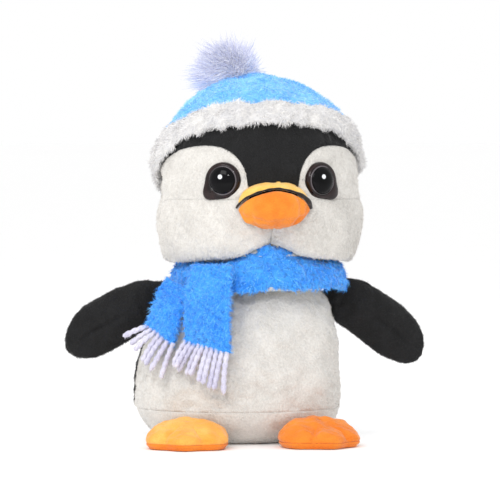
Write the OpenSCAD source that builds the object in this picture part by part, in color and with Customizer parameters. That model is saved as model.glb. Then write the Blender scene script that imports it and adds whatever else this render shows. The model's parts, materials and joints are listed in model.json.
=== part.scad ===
// Standing plush penguin with a pompom hat and a fringed scarf.
// Millimetres, +Z up, the face towards -Y, the toy's own right side at -X.
// The origin is the middle of the flat base that the toy stands on.
// Every skin is a closed shell, and the stuffing is the closed solid inside it.

/* [Torso] */
// Half of the torso's width at its widest level
torso_half_width = 69; // [62:1:74]
// Height of the torso's widest level
torso_wide_height = 36; // [32:1:38]
// Depth of the torso divided by its width
torso_depth_ratio = 0.84; // [0.78:0.01:0.9]
// Height of the flat top of the torso
torso_height = 100; // [98:0.5:101]
// Height of the seam round the base panel
base_seam_height = 22; // [16:1:30]
// How far the neck and head lean sideways over the base
lean = 14; // [8:1:16]

/* [Head] */
// Height of the middle of the head
head_height = 172; // [170:1:176]
// Half of the head's width above the cheeks
head_half_width = 65; // [62:0.5:66]
// How far the cheeks widen the head on each side
cheek_fullness = 5; // [3:0.5:6]
// Half of the head's depth
head_half_depth = 61; // [58:0.5:62]
// Depth of the cheek lobes below the middle of the head
cheek_drop = 63; // [60:0.5:64]
// How far the chin is drawn up between the cheek lobes
chin_cleft = 15; // [8:1:18]
// Height of the white eye patches, as an angle seen from the middle of the head
eye_patch_height = 32; // [30:1:36]

/* [Face] */
// Radius of a plastic eye
eye_radius = 12; // [10:0.5:13]
// Angle of each eye from straight ahead
eye_azimuth = 31; // [30:1:36]
// Radius of an eye's shank
eye_shank_radius = 3; // [2:0.5:4]
// Half of the beak's width
beak_half_width = 24.5; // [20:0.5:26]
// How far the beak stands out from its root
beak_reach = 25; // [20:0.5:28]
// Half of the beak's height
beak_half_height = 15.5; // [14:0.5:17]

/* [Hat] */
// Backward tilt of the hat
hat_tilt = 42; // [36:1:44]
// Thickness of the hat's fleece
hat_thickness = 4.5; // [3:0.5:6]
// Thickness of the hat's plush band
band_thickness = 7; // [6:0.5:8]
// Half of the band's height, as an angle seen from the middle of the head
band_half_angle = 8; // [6:0.5:9]
// Radius of the pompom
pompom_radius = 22; // [18:0.5:24]

/* [Scarf] */
// Outer radius of the scarf, measured from the middle of the neck ball
scarf_radius = 59; // [57:0.5:60]
// Thickness of the wrap
scarf_thickness = 7; // [5:0.5:8]
// Thickness of a hanging end
tail_thickness = 5; // [4:0.5:6]
// Width of a hanging end
tail_width = 33; // [28:1:36]
// Thickness of one strand of the fringe
strand_thickness = 3; // [2:0.25:3.5]
// Gap between neighbouring strands
strand_gap = 0.6; // [0.4:0.1:2]

/* [Flippers] */
// Length of a flipper from its shoulder to its tip
flipper_reach = 56; // [50:1:62]
// Half of a flipper's width at its widest
flipper_half_width = 18; // [15:0.5:19]
// Half of a flipper's thickness
flipper_half_thickness = 8; // [6:0.5:9]
// Angle that the right flipper hangs below level
right_droop = 24; // [18:1:26]
// Angle that the left flipper hangs below level
left_droop = 32; // [26:1:36]

/* [Feet] */
// Half of a foot's width
foot_half_width = 27; // [24:0.5:29]
// Length of a foot in front of its hinge
foot_reach = 42; // [36:1:46]
// Thickness of a foot
foot_thickness = 13; // [11:0.5:14]
// Outward turn of each foot
foot_splay = 16; // [8:1:20]

/* [Hidden] */

skin = 2;            // thickness of a plush skin
ease = 0.4;          // free gap between a skin and its stuffing
seam = 0.25;         // half of the gap between two panels, in degrees of the head
run = 0.4;           // free gap between parts that move on each other
turn_step = 10;      // angle between the columns of points round a form
$fn = 48;

black = [0.07, 0.07, 0.08];
white = [0.93, 0.92, 0.9];
sky_blue = [0.45, 0.74, 0.98];
scarf_blue = [0.22, 0.56, 0.93];
orange = [0.95, 0.5, 0.13];
pale_orange = [0.99, 0.76, 0.38];
filling_colour = [0.88, 0.88, 0.84];

// ---------------------------------------------------------------- shared shapes

// Rises smoothly from 0 to 1 while t goes from 0 to 1
function smooth(t) = let (c = max(0, min(1, t))) c * c * (3 - 2 * c);

// Half-width of a superellipse of half-width 1, at a height of t
function swell(t, power) = pow(max(0, 1 - pow(abs(t), power)), 1 / power);

// A point between a and b
function between(a, b, t) = a + (b - a) * t;

// The values from low to high in a number of equal steps
function steps(low, high, count) = [for (i = [0 : count]) low + (high - low) * i / count];

// The mean of a ring of points
function middle(ring) = [for (p = ring) 1] * ring / len(ring);

// The place between low and high where a test turns from false to true
function crossing(test, low, high, rounds = 14) = let (half_way = (low + high) / 2)
    rounds == 0 ? half_way
    : test(half_way) ? crossing(test, low, half_way, rounds - 1)
    : crossing(test, half_way, high, rounds - 1);

// Direction for an azimuth (0 is the face, 90 the toy's left) and an elevation
function direction(az, el) = [sin(az) * cos(el), -cos(az) * cos(el), sin(el)];

// A closed solid through a stack of rings. A looped stack joins its last ring to its
// first, and any other is closed at both ends.
module ring_stack(rings, looped = false) {
    count = len(rings[0]);
    levels = len(rings);
    last_level = looped ? levels - 1 : levels - 2;
    sides = [
        for (k = [0 : last_level]) for (i = [0 : count - 1])
            let (
                here = k * count + i,
                next = k * count + (i + 1) % count,
                above = ((k + 1) % levels) * count + i,
                above_next = ((k + 1) % levels) * count + (i + 1) % count
            )
            each [[here, above, above_next], [here, above_next, next]]
    ];
    start = levels * count;
    top = (levels - 1) * count;
    ends = looped ? [] : [
        for (i = [0 : count - 1]) let (j = (i + 1) % count)
            each [[i, j, start], [top + j, top + i, start + 1]]
    ];
    end_points = looped ? [] : [middle(rings[0]), middle(rings[levels - 1])];
    polyhedron([for (ring = rings) each ring, each end_points], concat(sides, ends));
}

// A sewn panel: a closed sheet between an outer and an inner grid of points
module panel(outer, inner) {
    columns = len(outer[0]);
    rows = len(outer);
    size = rows * columns;
    faces = [
        for (k = [0 : rows - 2]) for (i = [0 : columns - 2])
            let (a = k * columns + i, b = a + 1, c = a + columns, d = c + 1)
            each [
                [a, c, d], [a, d, b],
                [size + a, size + d, size + c], [size + a, size + b, size + d]
            ]
    ];
    edge = concat(
        [for (i = [0 : columns - 1]) i],
        [for (k = [1 : rows - 1]) k * columns + columns - 1],
        [for (i = [columns - 2 : -1 : 0]) (rows - 1) * columns + i],
        [for (k = [rows - 2 : -1 : 1]) k * columns]
    );
    walls = [
        for (n = [0 : len(edge) - 1])
            let (p = edge[n], q = edge[(n + 1) % len(edge)])
            each [[p, q, size + q], [p, size + q, size + p]]
    ];
    polyhedron([each for (row = outer) row, each for (row = inner) row], concat(faces, walls));
}

// A panel from a function that gives a point for a column, a share of the height and an inset
module skin_panel(form, columns, shares) {
    panel(
        [for (v = shares) [for (u = columns) form(u, v, 0)]],
        [for (v = shares) [for (u = columns) form(u, v, skin)]]
    );
}

around = [for (az = [0 : turn_step : 359]) az];

// ---------------------------------------------------------------- torso

torso_rise = 82;         // height of the upper dome above the widest level, before it is cut
torso_fall = 40;         // depth of the lower bowl below the widest level, before it is cut
lean_start = 50;         // height at which the torso starts to lean
lean_end = 115;          // height at which the lean is complete
back_edge = 96;          // azimuth of the seam between belly and back

function lean_at(z) = lean * smooth((z - lean_start) / (lean_end - lean_start));

function torso_width_at(z) = torso_half_width * (z > torso_wide_height
    ? swell((z - torso_wide_height) / torso_rise, 2)
    : swell((torso_wide_height - z) / torso_fall, 3));

function torso_point(az, z, inset) = let (
    half_width = torso_width_at(z) - inset,
    half_depth = torso_width_at(z) * torso_depth_ratio - inset
) [lean_at(z) + half_width * sin(az), -half_depth * cos(az), z];

function torso_ring(z, inset) = [for (az = around) torso_point(az, z, inset)];

module torso_side_panel(azimuths) {
    skin_panel(
        function (az, z, inset) torso_point(az, z, inset),
        azimuths,
        steps(base_seam_height + run, torso_height, 9)
    );
}

module belly_panel() {
    color(white) torso_side_panel(steps(-back_edge + seam, back_edge - seam, 19));
}

module back_panel() {
    color(black) torso_side_panel(steps(back_edge + seam, 360 - back_edge - seam, 17));
}

// Levels of the curved base, closest together at the floor
base_levels = [for (share = steps(0, 1, 4)) base_seam_height * pow(share, 1.4)];

module base_panel() {
    color(white) ring_stack(concat(
        [for (z = base_levels) torso_ring(z, 0)],
        [for (i = [len(base_levels) - 1 : -1 : 1]) torso_ring(base_levels[i], skin)],
        [torso_ring(skin, skin)]
    ));
}

bag_radius = 36;         // half-width of the bag of pellets
bag_height = 18;         // height of the bag of pellets

module pellet_bag() {
    color("khaki") translate([0, 0, skin + ease]) linear_extrude(bag_height) circle(bag_radius);
}

module torso_stuffing() {
    inset = skin + ease;
    low_levels = [for (i = [2 : len(base_levels) - 2]) base_levels[i]];
    color(filling_colour) resize([0, 0, 0]) difference() {
        ring_stack([
            for (z = [inset, each low_levels, each steps(base_seam_height, torso_height, 9)])
                torso_ring(z, inset)
        ]);
        translate([0, 0, inset - 1]) linear_extrude(bag_height + ease + 1) circle(bag_radius + ease);
    }
}

// ---------------------------------------------------------------- neck and scarf wrap

neck_height = 92;                                       // height of the neck's turning point
neck_place = [lean, 0, neck_height];
plug_radius = scarf_radius - scarf_thickness - run;     // the neck inside the wrap
plug_foot = 43;                                         // radius where the neck stands on the torso
wrap_low = 11;                                          // wrap's lower edge above the turning point
wrap_high = 31;                                         // wrap's upper edge above the turning point

// Points of an arc about the turning point, between two heights above it
function neck_arc(radius, low, high, count) = [
    for (z = steps(low, high, count)) [sqrt(max(0, radius * radius - z * z)), z]
];

module scarf_wrap() {
    outer = neck_arc(scarf_radius, wrap_low, wrap_high, 6);
    inner = neck_arc(scarf_radius - scarf_thickness, wrap_high, wrap_low, 6);
    color(scarf_blue) translate(neck_place) rotate_extrude() polygon(concat(outer, inner));
}

module neck_stuffing() {
    foot = torso_height + run - neck_height;
    top = scarf_radius - 0.01;
    color(filling_colour) translate(neck_place) rotate_extrude() polygon(concat(
        [[0, foot], [plug_foot, foot]],
        neck_arc(plug_radius, wrap_low + 1, wrap_high, 6),
        neck_arc(scarf_radius, wrap_high + run, top, 10),
        [[0, top]]
    ));
}

// ---------------------------------------------------------------- head

head_place = [lean, 0, head_height];
socket_radius = scarf_radius + 2 * run;      // the hollow under the head that fits the neck
cheek_power = 3.4;                           // squareness of the head below its middle
cleft_spread = 17;                           // half-width of the chin's cleft, in degrees
face_edge = 108;                             // azimuth where the white face meets the back
crease_front = -10;                          // elevation of the seam between eye patch and cheek
crease_fall = 14;                            // how far that seam falls towards the back
peak_edge = 15;                              // azimuth of the eye patches' inner ends
brow_azimuth = 44;                           // azimuth of the eye patches' highest point
rim_lift = 3;                                // angle of the head's top seam above the hat's rim
nape_rise = 5;                               // how much less the head hangs down at the back
strip_angle = 2.5;                           // least height of the forehead, under the band
rim_rise = 28;                               // how far the hat's rim rises from the front to the back
rim_rise_start = 5;                          // azimuth in the hat's frame where that rise begins
rim_rise_span = 125;                         // and how much further round it ends
brow_power = 1.7;                            // squareness of the eye patches' upper edge

// Distance from the middle of the head to its skin, along a direction
function head_distance(d) = let (
    az = atan2(d.x, -d.y),
    below = smooth(-d.z / 0.5),
    power = 2 + (cheek_power - 2) * below,
    wide = head_half_width + cheek_fullness * below,
    drop = cheek_drop - chin_cleft * exp(-pow(az / cleft_spread, 2)) - nape_rise * (1 - cos(az)) / 2,
    tall = d.z > 0 ? head_half_width : drop,
    flat_part = norm([d.x / wide, d.y / head_half_depth])
) 1 / pow(pow(flat_part, power) + pow(abs(d.z) / tall, power), 1 / power);

// Distance from the middle of the head to the neck's hollow, or far away where it is missed
function socket_distance(d) = let (
    rise = head_height - neck_height,
    along = -d.z * rise,
    reach = along * along - rise * rise + socket_radius * socket_radius
) reach > 0 && along > 0 ? along - sqrt(reach) : 1000;

function head_point(d, inset) =
    head_place + d * min(head_distance(d) - inset, socket_distance(d));

// Elevation at which the head's side meets the neck's hollow
function neck_edge(az) = crossing(
    function (el) head_distance(direction(az, el)) < socket_distance(direction(az, el)), -75, -20
);

// How far the hat's rim rises towards the back, for an azimuth in the hat's own frame
function back_lift(az) = rim_rise * smooth((abs(az) - rim_rise_start) / rim_rise_span);

// Angle of a direction above the hat's rim
function above_rim(d) = let (
    forward = -d.y * cos(hat_tilt) + d.z * sin(hat_tilt),
    up = d.z * cos(hat_tilt) + d.y * sin(hat_tilt)
) asin(up) - back_lift(atan2(d.x, forward));

// Elevation of the head's top seam, which the hat hides
function rim_angle(az) = crossing(
    function (el) above_rim(direction(az, el)) > rim_lift, -55, 70
);

// Elevation of the seam between an eye patch and the cheek below it
function crease_angle(az) = crease_front - crease_fall * smooth((abs(az) - 70) / 40);

// Elevation of an eye patch's upper edge, which the hat's band hides towards the back
function brow_angle(az) = let (
    side = abs(az),
    spread = side < brow_azimuth ? brow_azimuth - peak_edge : face_edge + 2 - brow_azimuth,
    arch = crease_front + eye_patch_height * swell((side - brow_azimuth) / spread, brow_power)
) min(arch, rim_angle(az) - strip_angle);

// A panel of the head between two elevations that depend on the azimuth
module head_panel(azimuths, low_edge, high_edge, rows) {
    skin_panel(
        function (az, share, inset) head_point(
            direction(az, between(low_edge(az) + seam, high_edge(az) - seam, share)), inset
        ),
        azimuths,
        steps(0, 1, rows)
    );
}

// Columns from the eye patches' inner ends to the edge of the face, closest at the inner ends
function face_columns(side, inner, outer) = [
    for (i = [0 : 14]) side * (side < 0
        ? between(outer, inner, 1 - pow(1 - i / 14, 1.4))
        : between(inner, outer, pow(i / 14, 1.4)))
];

module cheek(low_azimuth, high_azimuth) {
    color(white) head_panel(
        steps(low_azimuth + seam, high_azimuth - seam, 11),
        function (az) neck_edge(az),
        function (az) crease_angle(az),
        5
    );
}

module cheek_right() { cheek(-face_edge, 0); }

module cheek_left() { cheek(0, face_edge); }

module eye_patch(side) {
    color(white) resize([0, 0, 0]) difference() {
        head_panel(
            face_columns(side, peak_edge + 1, face_edge - seam),
            function (az) crease_angle(az),
            function (az) brow_angle(az),
            4
        );
        eye_frame(side) translate([0, 0, -20]) cylinder(h = 40, r = eye_shank_radius + run);
    }
}

module eye_patch_right() { eye_patch(-1); }

module eye_patch_left() { eye_patch(1); }

module forehead_panel() {
    color(black) head_panel(
        concat(
            face_columns(-1, peak_edge + 1, face_edge - seam),
            steps(-peak_edge + 1, peak_edge - 1, 4),
            face_columns(1, peak_edge + 1, face_edge - seam)
        ),
        function (az) abs(az) <= peak_edge ? crease_angle(az) : brow_angle(az),
        function (az) rim_angle(az),
        4
    );
}

module head_back_panel() {
    color(black) head_panel(
        steps(face_edge + seam, 360 - face_edge - seam, 13),
        function (az) neck_edge(az > 180 ? az - 360 : az),
        function (az) rim_angle(az),
        6
    );
}

// Direction for an azimuth in the tilted hat's own frame and an angle above its rim
function hat_direction(az, el) = let (
    side = az > 180 ? az - 360 : az,
    d = direction(az, el + back_lift(side) * cos(el))
) [d.x, d.y * cos(hat_tilt) + d.z * sin(hat_tilt), d.z * cos(hat_tilt) - d.y * sin(hat_tilt)];

function hat_ring(el, lift) = [
    for (az = around) let (d = hat_direction(az, el)) head_place + d * (head_distance(d) + lift)
];

top_seam_angle = rim_lift + 1.5;
head_top_angles = steps(top_seam_angle, 86, 10);

module head_top_panel() {
    color(black) ring_stack(concat(
        [for (i = [len(head_top_angles) - 1 : -1 : 0]) hat_ring(head_top_angles[i], -skin)],
        [for (el = head_top_angles) hat_ring(el, 0)]
    ));
}

module head_stuffing() {
    inset = skin + 2 * ease;
    color(filling_colour) resize([0, 0, 0]) difference() {
        ring_stack([
            for (el = [-84, -72, -62, -56, -52, -48, -44, -40, each steps(-34, 80, 13), 86])
                [for (az = around) head_point(direction(az, el), inset)]
        ]);
        for (side = [-1, 1]) eye_frame(side) {
            translate([0, 0, -washer_depth - washer_height - ease])
                cylinder(h = washer_depth + washer_height + 10, r = eye_shank_radius + run);
            translate([0, 0, -washer_depth - washer_height - ease])
                cylinder(h = washer_height + 2 * ease, r = washer_radius + ease);
        }
    }
}

// ---------------------------------------------------------------- eyes

eye_elevation = 1;           // elevation of the eyes above the middle of the head
eye_turn = 27;               // angle that an eye faces, from straight ahead
eye_bulge = 5;               // height of the eye's dome
washer_radius = 9;
washer_height = 1.6;
washer_depth = 5;            // depth of the washer's front face behind the skin

// Puts its children in the frame of one eye, +Z outwards, on the skin
module eye_frame(side) {
    d = direction(side * eye_azimuth, eye_elevation);
    translate(head_place + d * (head_distance(d) + 0.6))
        rotate([90 - eye_elevation, 0, side * eye_turn]) children();
}

module eye(side) {
    ball = (eye_radius * eye_radius + eye_bulge * eye_bulge) / (2 * eye_bulge);
    color([0.1, 0.06, 0.05]) eye_frame(side) {
        rotate_extrude() intersection() {
            translate([0, eye_bulge - ball]) circle(ball);
            square([eye_radius, eye_bulge]);
        }
        translate([0, 0, -washer_depth - washer_height])
            cylinder(h = washer_depth + washer_height + 1, r = eye_shank_radius);
    }
}

module eye_right() { eye(-1); }

module eye_left() { eye(1); }

module eye_washer(side) {
    color("whitesmoke") eye_frame(side) translate([0, 0, -washer_depth - washer_height])
        difference() {
            cylinder(h = washer_height, r = washer_radius);
            translate([0, 0, -1]) cylinder(h = washer_height + 2, r = eye_shank_radius + 0.1);
        }
}

module eye_washer_right() { eye_washer(-1); }

module eye_washer_left() { eye_washer(1); }

// ---------------------------------------------------------------- beak

beak_gap = 1.2;              // gap between the beak's root and the face
beak_root = head_half_depth - 6;
beak_drop = 15;              // depth of the beak's middle below the middle of the head
beak_place = head_place + [0, -beak_root, -beak_drop];
mouth_middle = 30;           // elevation of the mouth line at the front of the beak
mouth_fall = 42;             // how far the mouth line falls towards the corners
trim_angle = 3;              // half of the mouth trim's height
beak_power = 2.3;            // squareness of the beak
beak_skin = 1.4;             // thickness of the beak's felt
beak_side = 72;              // azimuth of the beak's sewn edges
beak_pole = 76;              // elevation of the beak's upper and lower edges

function beak_distance(d) = 1 / pow(
    pow(norm([d.x / beak_half_width, d.y / beak_reach]), beak_power)
    + pow(abs(d.z) / beak_half_height, beak_power), 1 / beak_power);

// A point of the beak, kept in front of the face
function beak_point(az, el, inset) = let (
    d = direction(az, el),
    p = beak_place + d * (beak_distance(d) - inset),
    out = p - head_place,
    face = head_distance(out / norm(out)) + beak_gap + (skin - inset) / 2
) norm(out) < face ? head_place + out / norm(out) * face : p;

function mouth_angle(az) = mouth_middle - mouth_fall * pow(abs(az) / 90, 1.6);

module beak_panel(low_edge, high_edge, rows) {
    skin_panel(
        function (az, share, inset) beak_point(
            az, between(low_edge(az), high_edge(az), share), inset * beak_skin / skin
        ),
        steps(-beak_side, beak_side, 16),
        steps(0, 1, rows)
    );
}

module beak_upper() {
    color(pale_orange) beak_panel(
        function (az) mouth_angle(az) + trim_angle + seam, function (az) beak_pole, 5
    );
}

module beak_lower() {
    color(orange) beak_panel(
        function (az) -beak_pole, function (az) mouth_angle(az) - trim_angle - seam, 8
    );
}

module mouth_trim() {
    color(black) beak_panel(
        function (az) mouth_angle(az) - trim_angle, function (az) mouth_angle(az) + trim_angle, 1
    );
}

module beak_stuffing() {
    inset = beak_skin + ease;
    shrink = 1 - inset / beak_half_height;
    points = [
        for (el = steps(-80, 80, 12)) [for (az = [-78 : 12 : 78]) beak_point(az, el, inset)]
    ];
    back = [for (row = points) [for (p = row) [
        lean + (p.x - lean) * shrink, beak_place.y - 1, beak_place.z + (p.z - beak_place.z) * shrink
    ]]];
    color(filling_colour) resize([0, 0, 0]) difference() {
        panel(points, back);
        translate(head_place) ring_stack([
            for (el = steps(-60, 40, 12)) [
                for (az = [-60 : 5 : 60])
                    let (d = direction(az, el)) d * (head_distance(d) + beak_gap),
                [0, -10, 40 * sin(el)]
            ]
        ]);
    }
}

// ---------------------------------------------------------------- hat and pompom

crown_edge = 9;              // elevation of the crown's edge, inside the band

module hat_crown() {
    angles = steps(crown_edge, 86, 7);
    color(sky_blue) ring_stack(concat(
        [for (i = [len(angles) - 1 : -1 : 0]) hat_ring(angles[i], ease)],
        [for (el = angles) hat_ring(el, ease + hat_thickness)]
    ));
}

band_middle = 2;             // elevation of the band's fullest line

module hat_band() {
    low = band_middle - band_half_angle;
    high = crown_edge - ease;
    inner = 2 * ease;
    full = ease + band_thickness;
    color(white) ring_stack([
        hat_ring(high, inner), hat_ring(band_middle, inner), hat_ring(low, inner),
        hat_ring(low, full * 0.7), hat_ring(band_middle, full), hat_ring(high, full * 0.7)
    ], looped = true);
}

tie_radius = 3;
tie_way = [-15, 14, 68] / norm([-15, 14, 68]);   // direction of the tie from the head's middle
tie_place = head_place
    + tie_way * (head_distance(tie_way) + ease + hat_thickness + tie_radius + run);

module pompom_tie() {
    color(white) translate(tie_place) sphere(tie_radius);
}

// The upper half of a ball round its tie, so that it can flop without meeting the hat
module pompom() {
    color(white) translate(tie_place)
        rotate([0, acos(tie_way.z), atan2(tie_way.y, tie_way.x)])
            rotate_extrude() difference() {
                intersection() {
                    circle(pompom_radius);
                    square(pompom_radius);
                }
                circle(tie_radius + run);
            }
}

// ---------------------------------------------------------------- hanging ends of the scarf

front_top = [-28, -48, 107];         // middle of the front end's top edge
front_foot = [-31, -58.5, 68];       // middle of its lower edge
rear_top = [-45, -26.5, 100];         // middle of the rear end's top edge
rear_foot = [-57, -35, 74];          // middle of its lower edge
front_across = [0.8, -0.6, 0];       // direction across the front end
rear_across = [0.66, -0.62, -0.42];  // direction across the rear end
strand_length = 24;
rear_share = 0.72;                   // width of the rear end as a share of the front end's
top_share = 0.85;                    // width at the top of an end as a share of its foot
end_bulge = 3;                       // how far an end bows outwards

// A hanging end: a sheet from its top to its foot, a little wider at the foot
module hanging_end(top, foot, across, width) {
    out_way = cross(across, foot - top);
    out = (out_way.y > 0 ? -1 : 1) * out_way / norm(out_way);
    rows = steps(1, 0, 6);
    columns = steps(-0.5, 0.5, 6);
    function place(u, v, depth) = between(top, foot, v)
        + across * u * width * between(top_share, 1, v) + out * (end_bulge * sin(180 * v) - depth);
    panel(
        [for (v = rows) [for (u = columns) place(u, v, 0)]],
        [for (v = rows) [for (u = columns) place(u, v, tail_thickness)]]
    );
}

// A row of strands below a hanging end
module strands(foot, across, width, way) {
    down = way / norm(way);
    span = width - strand_thickness;
    last = floor(span / (strand_thickness + strand_gap));
    for (i = [0 : last]) {
        place = foot + across * (i / last - 0.5) * span;
        tilt = acos(down.z);
        translate(place + down * 0.3)
            rotate([0, tilt, atan2(down.y, down.x)])
                cylinder(h = strand_length, d = strand_thickness, $fn = 16);
    }
}

module scarf_tail_front() {
    color(scarf_blue) hanging_end(front_top, front_foot, front_across, tail_width);
}

module scarf_fringe_front() {
    color(white) strands(front_foot + [-1, -1, -1.5], front_across, tail_width, [-0.35, -0.1, -1]);
}

module scarf_tail_rear() {
    color(scarf_blue) hanging_end(rear_top, rear_foot, rear_across, tail_width * rear_share);
}

module scarf_fringe_rear() {
    color(white) strands(
        rear_foot + [-1.5, -1, -2], rear_across, tail_width * rear_share, [-0.5, -0.1, -1]
    );
}

// ---------------------------------------------------------------- flippers

shoulder_height = 88;
root_radius = 14;            // radius of a flipper's rounded root about its hinge
shoulder_gap = 1;            // gap between the torso and a flipper's root
widest_place = flipper_reach * 0.45;     // where a flipper is widest
flipper_skin = 1.6;          // thickness of a flipper's skin

// Sideways place of a shoulder's hinge, so that the round root clears the torso at every level
function shoulder_x(side) = side * (shoulder_gap + max([
    for (rise = steps(-root_radius, root_radius, 28))
        let (z = shoulder_height + rise)
        side * lean_at(z) + torso_width_at(z) + sqrt(root_radius * root_radius - rise * rise)
]));

// Half-width of a flipper at a place along it, measured from its hinge
function flipper_width_at(s) = s < 0
    ? sqrt(max(0, root_radius * root_radius - s * s))
    : s < widest_place
        ? between(root_radius, flipper_half_width, smooth(s / widest_place))
        : flipper_half_width * swell((s - widest_place) / (flipper_reach - widest_place), 2.2);

// A point of a flipper: turn goes round its section, and s is measured from its hinge
function flipper_point(turn, s, inset) = let (
    width_share = flipper_width_at(s) / flipper_half_width,
    wide = max(0.6, flipper_width_at(s) - inset),
    thick = max(0.4, flipper_half_thickness * pow(width_share, 0.6) - inset)
) [s, -thick * sin(turn), wide * cos(turn)];

flipper_places = [
    -root_radius + 0.5, -root_radius * 0.7, -root_radius * 0.35, 0,
    each steps(flipper_reach * 0.15, flipper_reach * 0.9, 6), flipper_reach - 0.7
];

// Puts its children in the frame of one flipper, +X towards its tip
module flipper_frame(side) {
    droop = side < 0 ? right_droop : left_droop;
    translate([shoulder_x(side), 0, shoulder_height])
        mirror([side < 0 ? 1 : 0, 0, 0]) rotate([0, droop, 0]) children();
}

module flipper_skin(side, low, high) {
    color(black) flipper_frame(side) skin_panel(
        function (s, turn, inset) flipper_point(turn, s, inset * flipper_skin / skin),
        flipper_places,
        steps(low + 1, high - 1, 10)
    );
}

module flipper_stuffing(side) {
    inset = flipper_skin + ease;
    inner_places = [for (i = [1 : len(flipper_places) - 2]) flipper_places[i]];
    color(filling_colour) flipper_frame(side) ring_stack([
        for (s = inner_places) [for (turn = [0 : 20 : 359]) flipper_point(turn, s, inset)]
    ]);
}

module flipper_right_front() { flipper_skin(-1, 0, 180); }

module flipper_right_back() { flipper_skin(-1, 180, 360); }

module flipper_right_stuffing() { flipper_stuffing(-1); }

module flipper_left_front() { flipper_skin(1, 0, 180); }

module flipper_left_back() { flipper_skin(1, 180, 360); }

module flipper_left_stuffing() { flipper_stuffing(1); }

// ---------------------------------------------------------------- feet

foot_place_x = 38;           // distance of each foot's hinge from the middle
foot_place_y = -47;          // how far forward each foot's hinge is
heel = 7;                    // rounded heel behind the hinge
sole_share = 0.3;            // height of the seam round a foot, as a share of its thickness
middle_share = 0.45;         // place of a foot's middle, as a share of its reach
toe_relief = 0.06;           // how far the three toes stand out, as a share of the foot

// Distance from the middle of a foot to its edge: three toes in front, a round heel behind
function foot_edge(turn) = let (
    front = cos(turn),
    half_length = front > 0 ? foot_reach * (1 - middle_share) : foot_reach * middle_share + heel,
    oval = 1 / sqrt(pow(sin(turn) / foot_half_width, 2) + pow(front / half_length, 2))
) oval * (front > 0 ? 1 + toe_relief * front * cos(5 * turn) : 1);

function foot_ring(share, z, inset) = [
    for (turn = [0 : 12 : 359])
        let (r = (foot_edge(turn) - inset) * share)
        [r * sin(turn), -r * cos(turn) - foot_reach * middle_share, z]
];

// Rings of the dome over a foot's seam, from the edge to the middle
function foot_dome(height, base, inset) = [
    for (rise = [0, 30, 52, 70, 82])
        foot_ring(cos(rise), base + (height - base) * sin(rise), inset)
];

module foot_frame(side) {
    translate([side * foot_place_x, foot_place_y, 0]) rotate([0, 0, side * foot_splay]) children();
}

seam_height = foot_thickness * sole_share;

module foot_upper(side) {
    outer = foot_dome(foot_thickness, seam_height + run / 2, 0);
    inner = foot_dome(foot_thickness - skin, seam_height + run / 2, skin);
    color(side < 0 ? pale_orange : orange) foot_frame(side) ring_stack(concat(
        [for (i = [len(inner) - 1 : -1 : 0]) inner[i]], outer
    ));
}

module foot_sole(side) {
    color(orange) foot_frame(side) ring_stack([
        foot_ring(0.88, 0, 0), foot_ring(0.97, seam_height * 0.4, 0),
        foot_ring(1, seam_height - run / 2, 0), foot_ring(1, seam_height - run / 2, skin),
        foot_ring(0.9, skin * 0.8, skin)
    ]);
}

module foot_stuffing(side) {
    gap = skin + ease;
    color(filling_colour) foot_frame(side) ring_stack(concat(
        [foot_ring(0.86, skin + ease, gap), foot_ring(0.98, seam_height, gap)],
        foot_dome(foot_thickness - gap, seam_height + run, gap)
    ));
}

module foot_right_upper() { foot_upper(-1); }

module foot_right_sole() { foot_sole(-1); }

module foot_right_stuffing() { foot_stuffing(-1); }

module foot_left_upper() { foot_upper(1); }

module foot_left_sole() { foot_sole(1); }

module foot_left_stuffing() { foot_stuffing(1); }

// ---------------------------------------------------------------- what is drawn

belly_panel();
back_panel();
base_panel();
torso_stuffing();
pellet_bag();
scarf_wrap();
neck_stuffing();
forehead_panel();
head_top_panel();
head_back_panel();
eye_patch_right();
eye_patch_left();
cheek_right();
cheek_left();
head_stuffing();
eye_right();
eye_left();
eye_washer_right();
eye_washer_left();
beak_upper();
beak_lower();
mouth_trim();
beak_stuffing();
hat_crown();
hat_band();
pompom_tie();
pompom();
flipper_right_front();
flipper_right_back();
flipper_right_stuffing();
flipper_left_front();
flipper_left_back();
flipper_left_stuffing();
foot_right_upper();
foot_right_sole();
foot_right_stuffing();
foot_left_upper();
foot_left_sole();
foot_left_stuffing();
scarf_tail_front();
scarf_fringe_front();
scarf_tail_rear();
scarf_fringe_rear();
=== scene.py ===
import json
import math
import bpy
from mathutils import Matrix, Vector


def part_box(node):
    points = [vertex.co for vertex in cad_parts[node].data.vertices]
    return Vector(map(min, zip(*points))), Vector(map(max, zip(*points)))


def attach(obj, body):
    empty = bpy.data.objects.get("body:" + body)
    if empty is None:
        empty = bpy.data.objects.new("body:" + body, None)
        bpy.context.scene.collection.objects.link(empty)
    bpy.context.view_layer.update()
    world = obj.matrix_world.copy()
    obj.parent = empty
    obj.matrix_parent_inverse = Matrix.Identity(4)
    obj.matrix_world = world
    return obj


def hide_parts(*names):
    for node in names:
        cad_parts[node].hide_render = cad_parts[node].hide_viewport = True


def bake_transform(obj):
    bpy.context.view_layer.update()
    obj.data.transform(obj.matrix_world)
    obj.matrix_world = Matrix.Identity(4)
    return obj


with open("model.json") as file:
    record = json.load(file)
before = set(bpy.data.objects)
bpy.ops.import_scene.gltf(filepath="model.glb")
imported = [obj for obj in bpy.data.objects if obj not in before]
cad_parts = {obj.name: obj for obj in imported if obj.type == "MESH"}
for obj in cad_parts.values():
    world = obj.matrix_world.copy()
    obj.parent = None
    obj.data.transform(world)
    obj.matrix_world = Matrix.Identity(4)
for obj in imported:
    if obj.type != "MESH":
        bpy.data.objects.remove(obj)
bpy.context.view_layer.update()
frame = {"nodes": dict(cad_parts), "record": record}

import zlib

import bmesh
import bpy
import numpy as np
from mathutils import Vector

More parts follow.
